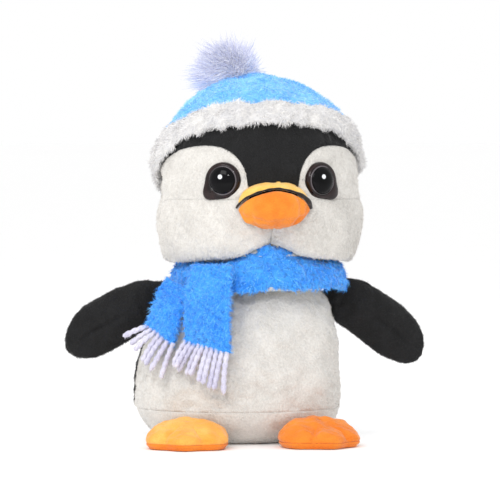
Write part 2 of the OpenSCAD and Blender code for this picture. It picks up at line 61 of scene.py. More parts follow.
# The looks of a standing plush penguin. Every shape is worked out in millimetres in the
# CAD's own frame: +Z up, the face towards -Y, and the toy's right side at -X.

MM = 0.001
JOINTS = {joint["name"]: joint for joint in frame["record"]["behaviour"]["joints"]}


def joint_place(name):
    """Where a joint turns, in millimetres."""
    return np.array(JOINTS[name]["pos_m"]) / MM


def node_box(node):
    """Lowest and highest corner of a CAD node, in millimetres."""
    return [np.array(corner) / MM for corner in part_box(node)]


# ---------------------------------------------------------------- driving dimensions

TORSO_HALF_WIDTH = 69
TORSO_WIDE_HEIGHT = 36
TORSO_DEPTH_RATIO = 0.84
TORSO_RISE = 82
TORSO_FALL = 40
LEAN_START = 50
LEAN_SPAN = 65
BACK_EDGE = 96
BASE_SEAM = node_box("base_panel")[1][2]
COLLAR_LOW, COLLAR_HIGH = (corner[2] for corner in node_box("scarf_wrap"))
COLLAR_RADIUS = 59
COLLAR_HALF_HEIGHT = 11.5
COLLAR_UNDER_CHEEKS = 5.5
COLLAR_AT_CHIN = 5.0
COLLAR_CHIN_SPREAD = 28

HEAD_HALF_WIDTH = 65
CHEEK_FULLNESS = 5
HEAD_HALF_DEPTH = 61
CHEEK_DROP = 77
CHIN_CLEFT = 25
CHEEK_SQUARENESS = 1.0
CLEFT_SPREAD = 17
NAPE_RISE = 2.5
SOCKET_RADIUS = COLLAR_RADIUS + 0.8
FACE_EDGE = 108
CREASE = -10
CREASE_FALL = 14
PATCH_HEIGHT = 32
BROW_POWER = 1.7
INNER_BROW_POWER = 2.5
PEAK_EDGE = 15
BROW = 44

HAT_TILT = 42
RIM_RISE = 28
RIM_RISE_START = 5
RIM_RISE_SPAN = 125
TOP_SEAM_LIFT = 3
CROWN_EDGE = 9
HAT_LIFT = 4.9
BAND_MIDDLE = 1.3
BAND_HALF_ANGLE = 7.4
BAND_LIFT = 3.9
BAND_HALF_THICKNESS = 3.6

NECK = joint_place("neck_turn")
LEAN = NECK[0]
HEAD = np.array([LEAN, 0, round(node_box("head_top_panel")[1][2]) - HEAD_HALF_WIDTH])
TIE = joint_place("pompom_rock")
POMPOM_CORE = 13
POMPOM_TUFTS = 230
POMPOM_FIBRES_EACH = 50
POMPOM_LENGTH = (23, 31)

EYE_RADIUS = 12
EYE_AZIMUTH = 31
EYE_TURN = 27

BEAK = HEAD + np.array([0, 6 - HEAD_HALF_DEPTH, -15])
BEAK_SIZE = np.array([24.5, 25, 15.5])
BEAK_POWER = 2.3
MOUTH_MIDDLE = 30
MOUTH_FALL = 42
MOUTH_POWER = 1.6

SHOULDER = {-1: joint_place("flipper_right_flap"), 1: joint_place("flipper_left_flap")}
DROOP = {-1: 24, 1: 32}
FLIPPER_REACH = 56
FLIPPER_HALF_WIDTH = 18
FLIPPER_HALF_THICKNESS = 8
FLIPPER_ROOT = -22
FLIPPER_SAG = 5.0
FLIPPER_RISE = 1.5

FOOT_PLACE = (38, -47)
FOOT_SPLAY = 16
FOOT_HALF_WIDTH = 27
FOOT_REACH = 42
FOOT_HEEL = 7
INSTEP_RISE = 7
INSTEP_PLACE = 0.28
INSTEP_SPREAD = 0.3
FOOT_THICKNESS = node_box("foot_left_upper")[1][2]
FOOT_SEAM = node_box("foot_left_sole")[1][2]

UP = np.array([0.0, 0.0, 1.0])

# ---------------------------------------------------------------- small numeric helpers


def random_for(name):
    """A random generator that depends only on the piece's name."""
    return np.random.default_rng(zlib.crc32(name.encode()))


def smooth(t):
    c = np.clip(t, 0, 1)
    return c * c * (3 - 2 * c)


def swell(t, power):
    return np.maximum(0, 1 - np.abs(t) ** power) ** (1 / power)


def between(a, b, t):
    return a + (b - a) * t


def unit(vectors):
    size = np.linalg.norm(vectors, axis=-1, keepdims=True)
    return vectors / np.maximum(size, 1e-9)


def dot(a, b):
    return (a * b).sum(-1, keepdims=True)


def tangent(vectors, normals):
    """The part of each vector that lies along the skin."""
    return vectors - dot(vectors, normals) * normals


def direction(az, el):
    a, e = np.radians(az), np.radians(el)
    return np.stack(np.broadcast_arrays(np.sin(a) * np.cos(e), -np.cos(a) * np.cos(e), np.sin(e)), -1)


def wave_set(size, seed, count):
    """Random plane waves about `size` mm long: their ways and phases."""
    source = np.random.default_rng(seed)
    way = unit(source.normal(size=(count, 3)))
    way = way * 2 * math.pi / (size * source.uniform(0.7, 1.4, (count, 1)))
    return way, source.uniform(0, 2 * math.pi, count)


def lumps(points, size, seed, count=22):
    """Smooth random bumps about `size` mm across, mostly from -1 to 1."""
    way, phase = wave_set(size, seed, count)
    return np.sin(points @ way.T + phase).sum(-1) / math.sqrt(count)


def pull(points, size, seed, count=22):
    """Direction towards the nearest crest of the same bumps, which gathers fibres into tufts."""
    way, phase = wave_set(size, seed, count)
    slope = np.cos(points @ way.T + phase) @ way
    return slope * size / (2 * math.pi * math.sqrt(count))


def crossing(test, low, high, shape):
    """Values between low and high where a test turns from false to true, by halving."""
    low, high = np.full(shape, float(low)), np.full(shape, float(high))
    for _ in range(18):
        half_way = (low + high) / 2
        met = test(half_way)
        high = np.where(met, half_way, high)
        low = np.where(met, low, half_way)
    return high


def turned(vectors, axis, degrees):
    """Vectors turned about one of the frame's axes."""
    c, s = math.cos(math.radians(degrees)), math.sin(math.radians(degrees))
    a, b = [(1, 2), (2, 0), (0, 1)][axis]
    out = np.array(vectors, float)
    out[..., a] = vectors[..., a] * c - vectors[..., b] * s
    out[..., b] = vectors[..., a] * s + vectors[..., b] * c
    return out


# ---------------------------------------------------------------- forms


def lean_at(z):
    return LEAN * smooth((z - LEAN_START) / LEAN_SPAN)


def torso_width_at(z):
    above = swell(np.maximum(z - TORSO_WIDE_HEIGHT, 0) / TORSO_RISE, 2)
    below = swell(np.maximum(TORSO_WIDE_HEIGHT - z, 0) / TORSO_FALL, 3)
    return TORSO_HALF_WIDTH * np.where(z > TORSO_WIDE_HEIGHT, above, below)


def torso_point(az, z, out=0.0):
    a = np.radians(az)
    wide = torso_width_at(z)
    x = lean_at(z) + (wide + out) * np.sin(a)
    y = -(wide * TORSO_DEPTH_RATIO + out) * np.cos(a)
    return np.stack(np.broadcast_arrays(x, y, z), -1)


def head_distance(d):
    az = np.degrees(np.arctan2(d[..., 0], -d[..., 1]))
    below = smooth(-d[..., 2] / 0.5)
    power = 2 + CHEEK_SQUARENESS * below
    wide = HEAD_HALF_WIDTH + CHEEK_FULLNESS * below
    cleft = CHIN_CLEFT * np.exp(-((az / CLEFT_SPREAD) ** 2))
    drop = CHEEK_DROP - cleft - NAPE_RISE * (1 - np.cos(np.radians(az)))
    tall = np.where(d[..., 2] > 0, HEAD_HALF_WIDTH, drop)
    flat = np.hypot(d[..., 0] / wide, d[..., 1] / HEAD_HALF_DEPTH)
    return 1 / (flat**power + (np.abs(d[..., 2]) / tall) ** power) ** (1 / power)


def socket_distance(d):
    """Distance from the head's middle to the hollow that fits the neck."""
    rise = HEAD[2] - NECK[2]
    along = -d[..., 2] * rise
    reach = along**2 - rise**2 + SOCKET_RADIUS**2
    met = (reach > 0) & (along > 0)
    return np.where(met, along - np.sqrt(np.maximum(reach, 0)), 1000)


def neck_edge(az):
    def outside(el):
        d = direction(az, el)
        return head_distance(d) < socket_distance(d)

    return crossing(outside, -75, -20, np.shape(az))


def back_lift(az):
    return RIM_RISE * smooth((np.abs(az) - RIM_RISE_START) / RIM_RISE_SPAN)


def above_rim(d):
    t = math.radians(HAT_TILT)
    forward = -d[..., 1] * math.cos(t) + d[..., 2] * math.sin(t)
    up = d[..., 2] * math.cos(t) + d[..., 1] * math.sin(t)
    lift = back_lift(np.degrees(np.arctan2(d[..., 0], forward)))
    return np.degrees(np.arcsin(np.clip(up, -1, 1))) - lift


def rim_angle(az):
    return crossing(lambda el: above_rim(direction(az, el)) > TOP_SEAM_LIFT, -55, 70, np.shape(az))


def crease_angle(az):
    return CREASE - CREASE_FALL * smooth((np.abs(az) - 70) / 40)


def brow_angle(az):
    side = np.abs(az)
    spread = np.where(side < BROW, BROW - PEAK_EDGE, FACE_EDGE + 2 - BROW)
    power = np.where(side < BROW, INNER_BROW_POWER, BROW_POWER)
    arch = CREASE + PATCH_HEIGHT * swell((side - BROW) / spread, power)
    return np.minimum(arch, rim_angle(az) - 2.5)


def hat_direction(az, el):
    side = np.where(np.asarray(az) > 180, np.asarray(az) - 360.0, az)
    d = direction(az, el + back_lift(side) * np.cos(np.radians(el)))
    return turned(d, 0, -HAT_TILT)


def hat_point(az, el, lift):
    d = hat_direction(az, el)
    return HEAD + d * (head_distance(d) + lift)[..., None]


def beak_point(az, el, out=0.0):
    d = direction(az, el)
    flat = np.hypot(d[..., 0] / BEAK_SIZE[0], d[..., 1] / BEAK_SIZE[1])
    reach = 1 / (flat**BEAK_POWER + (np.abs(d[..., 2]) / BEAK_SIZE[2]) ** BEAK_POWER) ** (1 / BEAK_POWER)
    point = BEAK + d * (reach + out)[..., None]
    away = point - HEAD
    size = np.linalg.norm(away, axis=-1)
    face = head_distance(unit(away)) + 0.4
    return np.where((size < face)[..., None], HEAD + unit(away) * face[..., None], point)


def mouth_angle(az):
    return MOUTH_MIDDLE - MOUTH_FALL * (np.abs(az) / 90) ** MOUTH_POWER


# ---------------------------------------------------------------- where the stuffing pushes the cloth

PUFF = {}
TORSO_TOP = 116


def puff(form, row, column):
    """How far the stuffing has pushed a form's cloth out, at places given as shares of its grid."""
    if form not in PUFF:
        return np.zeros(np.broadcast(row, column).shape)
    field = PUFF[form]
    rows, columns = field.shape
    row, column = np.broadcast_arrays(row, column)
    r = np.clip(row, 0, 1) * (rows - 1)
    c = (column % 1.0) * columns
    r0 = np.minimum(r.astype(int), rows - 2)
    c0 = c.astype(int) % columns
    c1 = (c0 + 1) % columns
    fr, fc = r - r0, c - np.floor(c)
    low = between(field[r0, c0], field[r0, c1], fc)
    high = between(field[r0 + 1, c0], field[r0 + 1, c1], fc)
    return between(low, high, fr)


# ---------------------------------------------------------------- meshes


def build_mesh(name, vertices, face_groups, smooth_faces=True):
    """A mesh object from points in millimetres and arrays of triangles or quads."""
    mesh = bpy.data.meshes.new(name)
    mesh.vertices.add(len(vertices))
    mesh.vertices.foreach_set("co", (np.asarray(vertices) * MM).astype(np.float32).ravel())
    loops = np.concatenate([f.ravel() for f in face_groups])
    sides = np.concatenate([np.full(len(f), f.shape[1]) for f in face_groups])
    mesh.loops.add(len(loops))
    mesh.loops.foreach_set("vertex_index", loops.astype(np.int32))
    mesh.polygons.add(len(sides))
    starts = np.concatenate([[0], np.cumsum(sides)[:-1]])
    mesh.polygons.foreach_set("loop_start", starts.astype(np.int32))
    mesh.polygons.foreach_set("use_smooth", np.full(len(sides), smooth_faces))
    mesh.update(calc_edges=True)
    piece = bpy.data.objects.new(name, mesh)
    bpy.context.scene.collection.objects.link(piece)
    return piece


def grid_faces(rows, columns, wrap, flip, start=0, loop=False):
    """Quads of a grid. A wrapped grid joins its last column to its first, a looped one its last row too."""
    index = np.arange(rows * columns).reshape(rows, columns) + start
    if wrap:
        index = np.concatenate([index, index[:, :1]], 1)
    if loop:
        index = np.concatenate([index, index[:1]], 0)
    faces = np.stack([index[:-1, :-1], index[:-1, 1:], index[1:, 1:], index[1:, :-1]], -1).reshape(-1, 4)
    return faces[:, ::-1] if flip else faces


def slope_along(points, axis, closed):
    if closed:
        return np.roll(points, -1, axis) - np.roll(points, 1, axis)
    return np.gradient(points, axis=axis)


def grid_normals(points, inside, wrap, loop=False):
    """Outward normals of a grid, and whether its own winding faces inwards."""
    normal = np.cross(slope_along(points, 1, wrap), slope_along(points, 0, loop))
    away = unit(points - inside)
    flip = (dot(unit(normal), away)).mean() < 0
    if flip:
        normal = -normal
    weak = np.linalg.norm(normal, axis=-1, keepdims=True) < 1e-6
    return unit(np.where(weak, away, normal)), flip


def path_lengths(points, axis):
    step = np.linalg.norm(np.diff(points, axis=axis), axis=-1)
    zero = np.zeros_like(np.take(step, [0], axis=axis))
    return np.concatenate([zero, np.cumsum(step, axis=axis)], axis=axis)


def seam_distance(points, side):
    """Distance along the skin to one sewn edge: left, right, low or high."""
    lengths = path_lengths(points, 1 if side in ("left", "right") else 0)
    if side == "right":
        return lengths[:, -1:] - lengths
    if side == "high":
        return lengths[-1:] - lengths
    return lengths


def weld(piece, gap=0.02):
    """Joins the points of a mesh that lie together, so that a tube closes at its ends."""
    mesh = bmesh.new()
    mesh.from_mesh(piece.data)
    bmesh.ops.remove_doubles(mesh, verts=mesh.verts, dist=gap * MM)
    mesh.to_mesh(piece.data)
    mesh.free()


class Skin:
    """One sewn panel: its piece, and the grid of points and normals that its pile grows from."""

    def __init__(self, name, points, inside, seams=None, wrap=False, loop=False, relief=None,
                 roll=5.0, tuck=3.0):
        """Seams gives the depth of the sewn valley at each sewn side."""
        normals, _ = grid_normals(points, inside, wrap, loop)
        rise, nearest = np.zeros(points.shape[:2]), np.ones(points.shape[:2])
        for side, depth in (seams or {}).items():
            gap = np.clip(seam_distance(points, side) / roll, 0, 1)
            rise = np.minimum(rise, -depth * (1 - np.sqrt(1 - (1 - gap) ** 2)))
            nearest = np.minimum(nearest, gap)
        if relief is not None:
            rise = rise + relief * smooth(nearest * 1.5)
        self.points = points + normals * rise[..., None]
        self.normals, flip = grid_normals(self.points, inside, wrap, loop)
        self.wrap, self.loop = wrap, loop
        shown = self.points
        if not loop:
            low = self.points[:1] - self.normals[:1] * tuck
            high = self.points[-1:] - self.normals[-1:] * tuck
            shown = np.concatenate([low, shown, high])
        if not wrap:
            turned_in = np.concatenate([self.normals[:1], self.normals, self.normals[-1:]]) * tuck
            left, right = shown[:, :1] - turned_in[:, :1], shown[:, -1:] - turned_in[:, -1:]
            shown = np.concatenate([left, shown, right], 1)
        rows, columns = shown.shape[:2]
        self.piece = build_mesh(name, shown.reshape(-1, 3), [grid_faces(rows, columns, wrap, flip, 0, loop)])

    def scatter(self, count, source, keep=None):
        """Random places spread evenly over the skin, and their normals."""
        p, n = self.points, self.normals
        if self.wrap:
            p = np.concatenate([p, p[:, :1]], 1)
            n = np.concatenate([n, n[:, :1]], 1)
        if self.loop:
            p = np.concatenate([p, p[:1]], 0)
            n = np.concatenate([n, n[:1]], 0)
        a, b, c, d = p[:-1, :-1], p[:-1, 1:], p[1:, 1:], p[1:, :-1]
        area = (np.linalg.norm(np.cross(c - a, d - b), axis=-1) / 2).ravel()
        chosen = source.choice(len(area), count, p=area / area.sum())
        row, column = np.divmod(chosen, p.shape[1] - 1)
        u, v = source.uniform(size=(2, count, 1))

        def blend(grid):
            low = between(grid[row, column], grid[row, column + 1], u)
            high = between(grid[row + 1, column], grid[row + 1, column + 1], u)
            return between(low, high, v)

        roots, ways = blend(p), unit(blend(n))
        if keep is not None:
            mask = keep(roots)
            roots, ways = roots[mask], ways[mask]
        return roots, ways


# ---------------------------------------------------------------- stuffing the cloth

STUFFING_FRAMES = 20
STUFFING_PRESSURE = 4.0
STUFFING_RISE = (-1.5, 3.2)


def stuff_cloth(form, points, inside, sewn):
    """Presses a closed form's cloth out between its sewn lines, and keeps how far each place rose."""
    rows, columns = points.shape[:2]
    normals, flip = grid_normals(points, inside, True)
    started = points - normals * 0.8
    ends = np.stack([started[0].mean(0), started[-1].mean(0)])
    low = np.arange(columns)
    high = low + (rows - 1) * columns
    total = rows * columns
    fans = np.concatenate([
        np.stack([np.roll(low, -1), low, np.full(columns, total)], -1),
        np.stack([high, np.roll(high, -1), np.full(columns, total + 1)], -1),
    ])
    fans = fans[:, ::-1] if flip else fans
    piece = build_mesh("cloth_of_" + form, np.concatenate([started.reshape(-1, 3), ends]),
                       [grid_faces(rows, columns, True, flip), fans])
    group = piece.vertex_groups.new(name="sewn")
    group.add([int(i) for i in np.flatnonzero(sewn.ravel())] + [total, total + 1], 1.0, "REPLACE")
    solver = piece.modifiers.new("cloth", "CLOTH")
    settings = solver.settings
    settings.quality = 5
    settings.mass = 0.25
    settings.tension_stiffness = 14
    settings.compression_stiffness = 14
    settings.shear_stiffness = 5
    settings.bending_stiffness = 0.3
    settings.shrink_min = -0.035
    settings.use_pressure = True
    settings.uniform_pressure_force = STUFFING_PRESSURE
    settings.vertex_group_mass = group.name
    settings.effector_weights.gravity = 0
    solver.point_cache.frame_start = 1
    solver.point_cache.frame_end = STUFFING_FRAMES
    scene = bpy.context.scene
    for step in range(1, STUFFING_FRAMES + 1):
        scene.frame_set(step)
    shaped = piece.evaluated_get(bpy.context.evaluated_depsgraph_get())
    after = np.empty((total + 2) * 3, np.float32)
    shaped.data.vertices.foreach_get("co", after)
    after = after.reshape(-1, 3)[:total].reshape(points.shape) / MM
    rise = dot(after - points, normals)[..., 0]
    PUFF[form] = np.clip(rise - np.median(rise), *STUFFING_RISE)
    print("stuffed", form, "rise from", round(float(rise.min()), 2), "to", round(float(rise.max()), 2))
    scene.frame_set(1)
    bpy.data.objects.remove(piece)


# ---------------------------------------------------------------- materials


def colour(red, green, blue):
    """A colour as the screen shows it, from 0 to 255, turned into the renderer's own scale."""
    shares = [c / 255 for c in (red, green, blue)]
    return tuple(s / 12.92 if s <= 0.04045 else ((s + 0.055) / 1.055) ** 2.4 for s in shares) + (1.0,)


def shader(name, roughness, sheen=0.0):
    """A new material with the values that are the same all over, and its tree and shader."""
    material = bpy.data.materials.new(name)
    material.use_nodes = True
    tree = material.node_tree
    made = tree.nodes["Principled BSDF"]
    made.inputs["Roughness"].default_value = roughness
    made.inputs["Sheen Weight"].default_value = sheen
    made.inputs["Sheen Roughness"].default_value = 0.4
    return material, tree, made


def noise_node(tree, size_mm, detail=3.0):
    """A noise pattern about this many millimetres across, fixed to the piece."""
    place = tree.nodes.new("ShaderNodeTexCoord")
    made = tree.nodes.new("ShaderNodeTexNoise")
    made.inputs["Scale"].default_value = 1 / (size_mm * MM)
    made.inputs["Detail"].default_value = detail
    tree.links.new(place.outputs["Object"], made.inputs["Vector"])
    return made


def ramp_node(tree, source, low, high, first, second):
    made = tree.nodes.new("ShaderNodeValToRGB")
    made.color_ramp.elements[0].position = low
    made.color_ramp.elements[1].position = high
    made.color_ramp.elements[0].color = first
    made.color_ramp.elements[1].color = second
    tree.links.new(source, made.inputs["Fac"])
    return made


def mix_node(tree, kind, share, first, second):
    made = tree.nodes.new("ShaderNodeMix")
    made.data_type = "RGBA"
    made.blend_type = kind
    made.inputs["Factor"].default_value = share
    tree.links.new(first, made.inputs["A"])
    tree.links.new(second, made.inputs["B"])
    return made


def bump_node(tree, source, height_mm, strength, after=None):
    made = tree.nodes.new("ShaderNodeBump")
    made.inputs["Strength"].default_value = strength
    made.inputs["Distance"].default_value = height_mm * MM
    tree.links.new(source, made.inputs["Height"])
    if after is not None:
        tree.links.new(after.outputs["Normal"], made.inputs["Normal"])
    return made


def fabric(name, light, dark, patch_mm=14, pile_mm=1.4, pile_height=0.8, sheen=0.5, roughness=0.9,
           shade=0.35):
    """Plush, fleece, felt or woven cloth: broad worn patches, painted shade in the low places of the pile,
    and its relief.
    """
    material, tree, made = shader(name, roughness, sheen)
    broad = noise_node(tree, patch_mm, 2.0)
    pile = noise_node(tree, pile_mm, 4.0)
    base = ramp_node(tree, broad.outputs["Fac"], 0.35, 0.65, dark, light)
    # Painted shade: where the pile's relief is low, the colour is darkened by the share `shade`.
    pile_shade = ramp_node(tree, pile.outputs["Fac"], 0.35, 0.6, (1 - shade,) * 3 + (1,), (1, 1, 1, 1))
    mixed = mix_node(tree, "MULTIPLY", 1.0, base.outputs["Color"], pile_shade.outputs["Color"])
    tree.links.new(mixed.outputs["Result"], made.inputs["Base Color"])
    coarse = noise_node(tree, pile_mm * 4, 2.0)
    tufts = bump_node(tree, coarse.outputs["Fac"], pile_height * 2, 0.5)
    relief = bump_node(tree, pile.outputs["Fac"], pile_height, 0.7, tufts)
    tree.links.new(relief.outputs["Normal"], made.inputs["Normal"])
    return material


def fibre(name, tint, sheen=0.3, roughness=0.8):
    """Pile fibres of one tint."""
    material, _, made = shader(name, roughness, sheen)
    made.inputs["Base Color"].default_value = tint
    return material


def tints(name, *colours, sheen=0.3, roughness=0.8):
    return [fibre(f"{name}_{i}", colour(*c), sheen, roughness) for i, c in enumerate(colours)]


WHITE_PLUSH = fabric("white_plush", colour(220, 217, 212), colour(208, 205, 200), shade=0.12)
BLACK_PLUSH = fabric("black_plush", colour(16, 16, 18), colour(8, 8, 9), sheen=0.12, shade=0.5)
SKY_FLEECE = fabric("sky_fleece", colour(134, 203, 255), colour(104, 182, 250), pile_mm=2.0, pile_height=1.2)
BLUE_FLEECE = fabric("blue_fleece", colour(72, 168, 250), colour(44, 142, 236), pile_mm=2.4, pile_height=1.5)
BAND_PLUSH = fabric("band_plush", colour(222, 220, 218), colour(206, 205, 207), pile_mm=2.6, pile_height=1.4,
                    shade=0.2)
ORANGE_CLOTH = fabric("orange_cloth", colour(246, 146, 44), colour(234, 124, 26), patch_mm=18, pile_mm=0.7,
                      pile_height=0.3, sheen=0.25, shade=0.2)
AMBER_CLOTH = fabric("amber_cloth", colour(252, 190, 96), colour(246, 164, 62), patch_mm=18, pile_mm=0.7,
                     pile_height=0.3, sheen=0.25, shade=0.18)
FELT = fabric("felt", colour(254, 208, 112), colour(248, 190, 84), patch_mm=8, pile_mm=0.6, pile_height=0.3,
              sheen=0.3, shade=0.16)
DARK_TRIM = fabric("dark_trim", colour(30, 20, 16), colour(14, 10, 9), pile_mm=0.8, pile_height=0.3,
                   shade=0.4)
YARN = fabric("yarn", colour(224, 221, 236), colour(204, 201, 224), patch_mm=9, pile_mm=0.7, pile_height=0.5,
              shade=0.22)
FILLING = fabric("filling", colour(240, 240, 234), colour(222, 222, 214), pile_mm=3, pile_height=1.5)
PELLET_CLOTH = fabric("pellet_cloth", colour(214, 204, 176), colour(196, 184, 154), pile_mm=0.9,
                      pile_height=0.2, sheen=0.1)
WASHER_PLASTIC = fabric("washer_plastic", colour(232, 232, 228), colour(220, 220, 214), pile_mm=0.5,
                        pile_height=0.02, sheen=0.0, roughness=0.45, shade=0.05)

WHITE_TINTS = tints("white_fibre", (226, 223, 218), (217, 213, 208), (208, 204, 199))
BLACK_TINTS = tints("black_fibre", (14, 14, 16), (22, 22, 25), (8, 8, 9), sheen=0.08)
SKY_TINTS = tints("sky_fibre", (146, 212, 255), (122, 198, 255), (172, 224, 255))
BLUE_TINTS = tints("blue_fibre", (70, 170, 252), (48, 148, 242), (110, 192, 255))
BAND_TINTS = tints("band_fibre", (230, 228, 226), (219, 217, 216), (208, 208, 211))
# The pompom's fibres are white; the lavender-grey of the darker tints is painted shade, spread at random over
# the fibres.
POMPOM_TINTS = tints("pompom_fibre", (232, 233, 242), (220, 222, 236), (204, 207, 230), sheen=0.3)
YARN_TINTS = tints("yarn_fibre", (230, 227, 240), (212, 209, 230))
ORANGE_TINTS = tints("orange_fibre", (250, 150, 50), (238, 130, 34))
AMBER_TINTS = tints("amber_fibre", (254, 196, 104), (248, 172, 70))
FELT_TINTS = tints("felt_fibre", (255, 212, 122), (250, 194, 92))


def dress(piece, body, slot, materials, replaces=(), bend=None):
    """Gives a piece its materials, attaches it to its body unless a bend is given (then only its placement is
    baked in), and hides the CAD nodes it stands for. The slot is not used.
    """
    for material in materials:
        piece.data.materials.append(material)
    if bend is None:
        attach(piece, body)
    else:
        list(bend[:2])
        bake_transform(piece)
    if replaces:
        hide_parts(*replaces)
    return piece


# ---------------------------------------------------------------- pile


FIBRE_FLOOR = 0.2


def fibres(name, body, slot, materials, roots, ways, sweeps, facing, lengths, width, parts=2, curl=0.0,
           turns=1.3, bend=None):
    """Ribbons that grow from their roots, sweep over and end in a point, flat side to their facing."""
    source = random_for(name)
    count = len(roots)
    side = unit(unit(np.cross(ways + sweeps, facing)) + 0.35 * source.normal(size=(count, 3)))
    other = np.cross(ways, side)
    phase = source.uniform(0, 2 * math.pi, (count, 1))
    lengths = lengths.reshape(-1, 1)
    rows = []
    for k in range(parts + 1):
        t = k / parts
        centre = roots + lengths * (ways * t * (1 - 0.25 * t) + sweeps * t * t)
        if curl:
            angle = phase + 2 * math.pi * turns * t
            centre = centre + lengths * curl * t * (np.cos(angle) * side + np.sin(angle) * other)
        half = width / 2 * (1 - 0.5 * t)
        rows += [centre] if k == parts else [centre - side * half, centre + side * half]
    points = np.stack(rows, 1)
    points[..., 2] = np.maximum(points[..., 2], FIBRE_FLOOR)
    each = points.shape[1]
    base = np.arange(count)[:, None] * each
    quads = [base + np.array([[2 * k, 2 * k + 1, 2 * k + 3, 2 * k + 2]]) for k in range(parts - 1)]
    tips = base + np.array([[each - 3, each - 2, each - 1]])
    groups = ([np.concatenate(quads)] if quads else []) + [tips]
    piece = build_mesh(name, points.reshape(-1, 3), groups)
    tint = source.integers(0, len(materials), count)
    piece.data.polygons.foreach_set("material_index", np.tile(tint, parts).astype(np.int32))
    piece.visible_shadow = False
    return dress(piece, body, slot, materials, bend=bend)


def pile(name, skin, body, slot, materials, count, length, width, stand=0.45, stray=0.3, clump=0.3,
         clump_size=5.0, droop=0.2, curl=0.0, keep=None, bend=None, parts=2):
    """A nap of fibres over one skin, brushed down with broad swirls and gathered into tufts."""
    source = random_for(name + "_roots")
    roots, normals = skin.scatter(count, source, keep)
    lay = unit(tangent(-0.8 * UP + 0.9 * pull(roots, 45, 12), normals))
    stray_way = tangent(source.normal(size=roots.shape), normals)
    ways = unit(stand * normals + (1 - stand) * lay + stray * stray_way)
    towards = clump * pull(roots, clump_size, 11)
    sweeps = tangent(towards - droop * UP, normals)
    lengths = length * source.uniform(0.55, 1.15, len(roots))
    return fibres(name, body, slot, materials, roots - normals * 0.4, ways, sweeps, normals, lengths,
                  width, parts, curl, bend=bend)


# ---------------------------------------------------------------- torso


def torso_relief(points):
    return 0.9 * lumps(points, 26, 3) + 0.35 * lumps(points, 8, 4)


def torso_grid(azimuths, heights):
    az, z = np.meshgrid(azimuths, heights)
    return torso_point(az, z, puff("torso", z / TORSO_TOP, az / 360))


COLLAR_TOP = COLLAR_LOW + 9


def above_floor(points):
    return (points[:, 2] > 1.5) & (points[:, 2] < COLLAR_LOW + 4)


def make_torso():
    middle = np.array([0, 0, 50])
    heights = np.linspace(BASE_SEAM, COLLAR_TOP, 76)
    for name, azimuths, material, colours, slot, node, count in (
        ("belly", np.linspace(-BACK_EDGE, BACK_EDGE, 171), WHITE_PLUSH, WHITE_TINTS, "plush_white",
         "belly_panel", 30000),
        ("back", np.linspace(BACK_EDGE, 360 - BACK_EDGE, 151), BLACK_PLUSH, BLACK_TINTS, "plush_black",
         "back_panel", 22000),
    ):
        points = torso_grid(azimuths, heights)
        skin = Skin(name, points, middle, {"left": 1.2, "right": 1.2, "low": 0.2},
                    relief=torso_relief(points), roll=4)
        dress(skin.piece, "torso", slot, [material], [node])
        pile(name + "_pile", skin, "torso", slot, colours, count, 2.6, 0.3, keep=above_floor)
    shares = [0.02, 0.25, 0.5, 0.7, 0.85, 0.95]
    rim = np.concatenate([[0.0, 0.15, 0.4, 0.8], np.linspace(1.4, BASE_SEAM, 18)])
    az = np.linspace(0, 360, 240, endpoint=False)
    floor_rows = [torso_point(az, np.zeros_like(az)) * np.array([s, s, 1]) for s in shares]
    side_rows = [torso_point(az, np.full_like(az, z), puff("torso", z / TORSO_TOP, az / 360)) for z in rim]
    points = np.stack(floor_rows + side_rows)
    skin = Skin("base", points, middle, {"high": 0.2}, wrap=True, roll=4, tuck=2.0)
    dress(skin.piece, "torso", "plush_white", [WHITE_PLUSH], ["base_panel"])
    pile("base_pile", skin, "torso", "plush_white", WHITE_TINTS, 11000, 2.6, 0.3, keep=above_floor)


# ---------------------------------------------------------------- head


def head_grid(azimuths, low, high, rows):
    az = np.asarray(azimuths)
    el = between(low(az)[None, :], high(az)[None, :], np.linspace(0, 1, rows)[:, None])
    az = np.broadcast_to(az, el.shape)
    d = direction(az, el)
    reach = np.minimum(head_distance(d), socket_distance(d)) + puff("head", (el + 84) / 172, az / 360)
    return HEAD + d * reach[..., None]


def eye_place(side):
    d = direction(side * EYE_AZIMUTH, 1)
    return HEAD + d * (head_distance(d) + 0.6)


def bare_face(points):
    """Where the face's pile shows: clear of the eyes, the beak's root and what the band covers."""
    clear = np.ones(len(points), bool)
    for side in (-1, 1):
        clear &= np.linalg.norm(points - eye_place(side), axis=1) > EYE_RADIUS + 0.8
    from_beak = (points - BEAK) / BEAK_SIZE
    clear &= (np.hypot(from_beak[:, 0], from_beak[:, 2]) > 0.88) | (points[:, 1] > 0)
    clear &= above_rim(unit(points - HEAD)) < -1
    return clear & (points[:, 2] > COLLAR_LOW + 2)


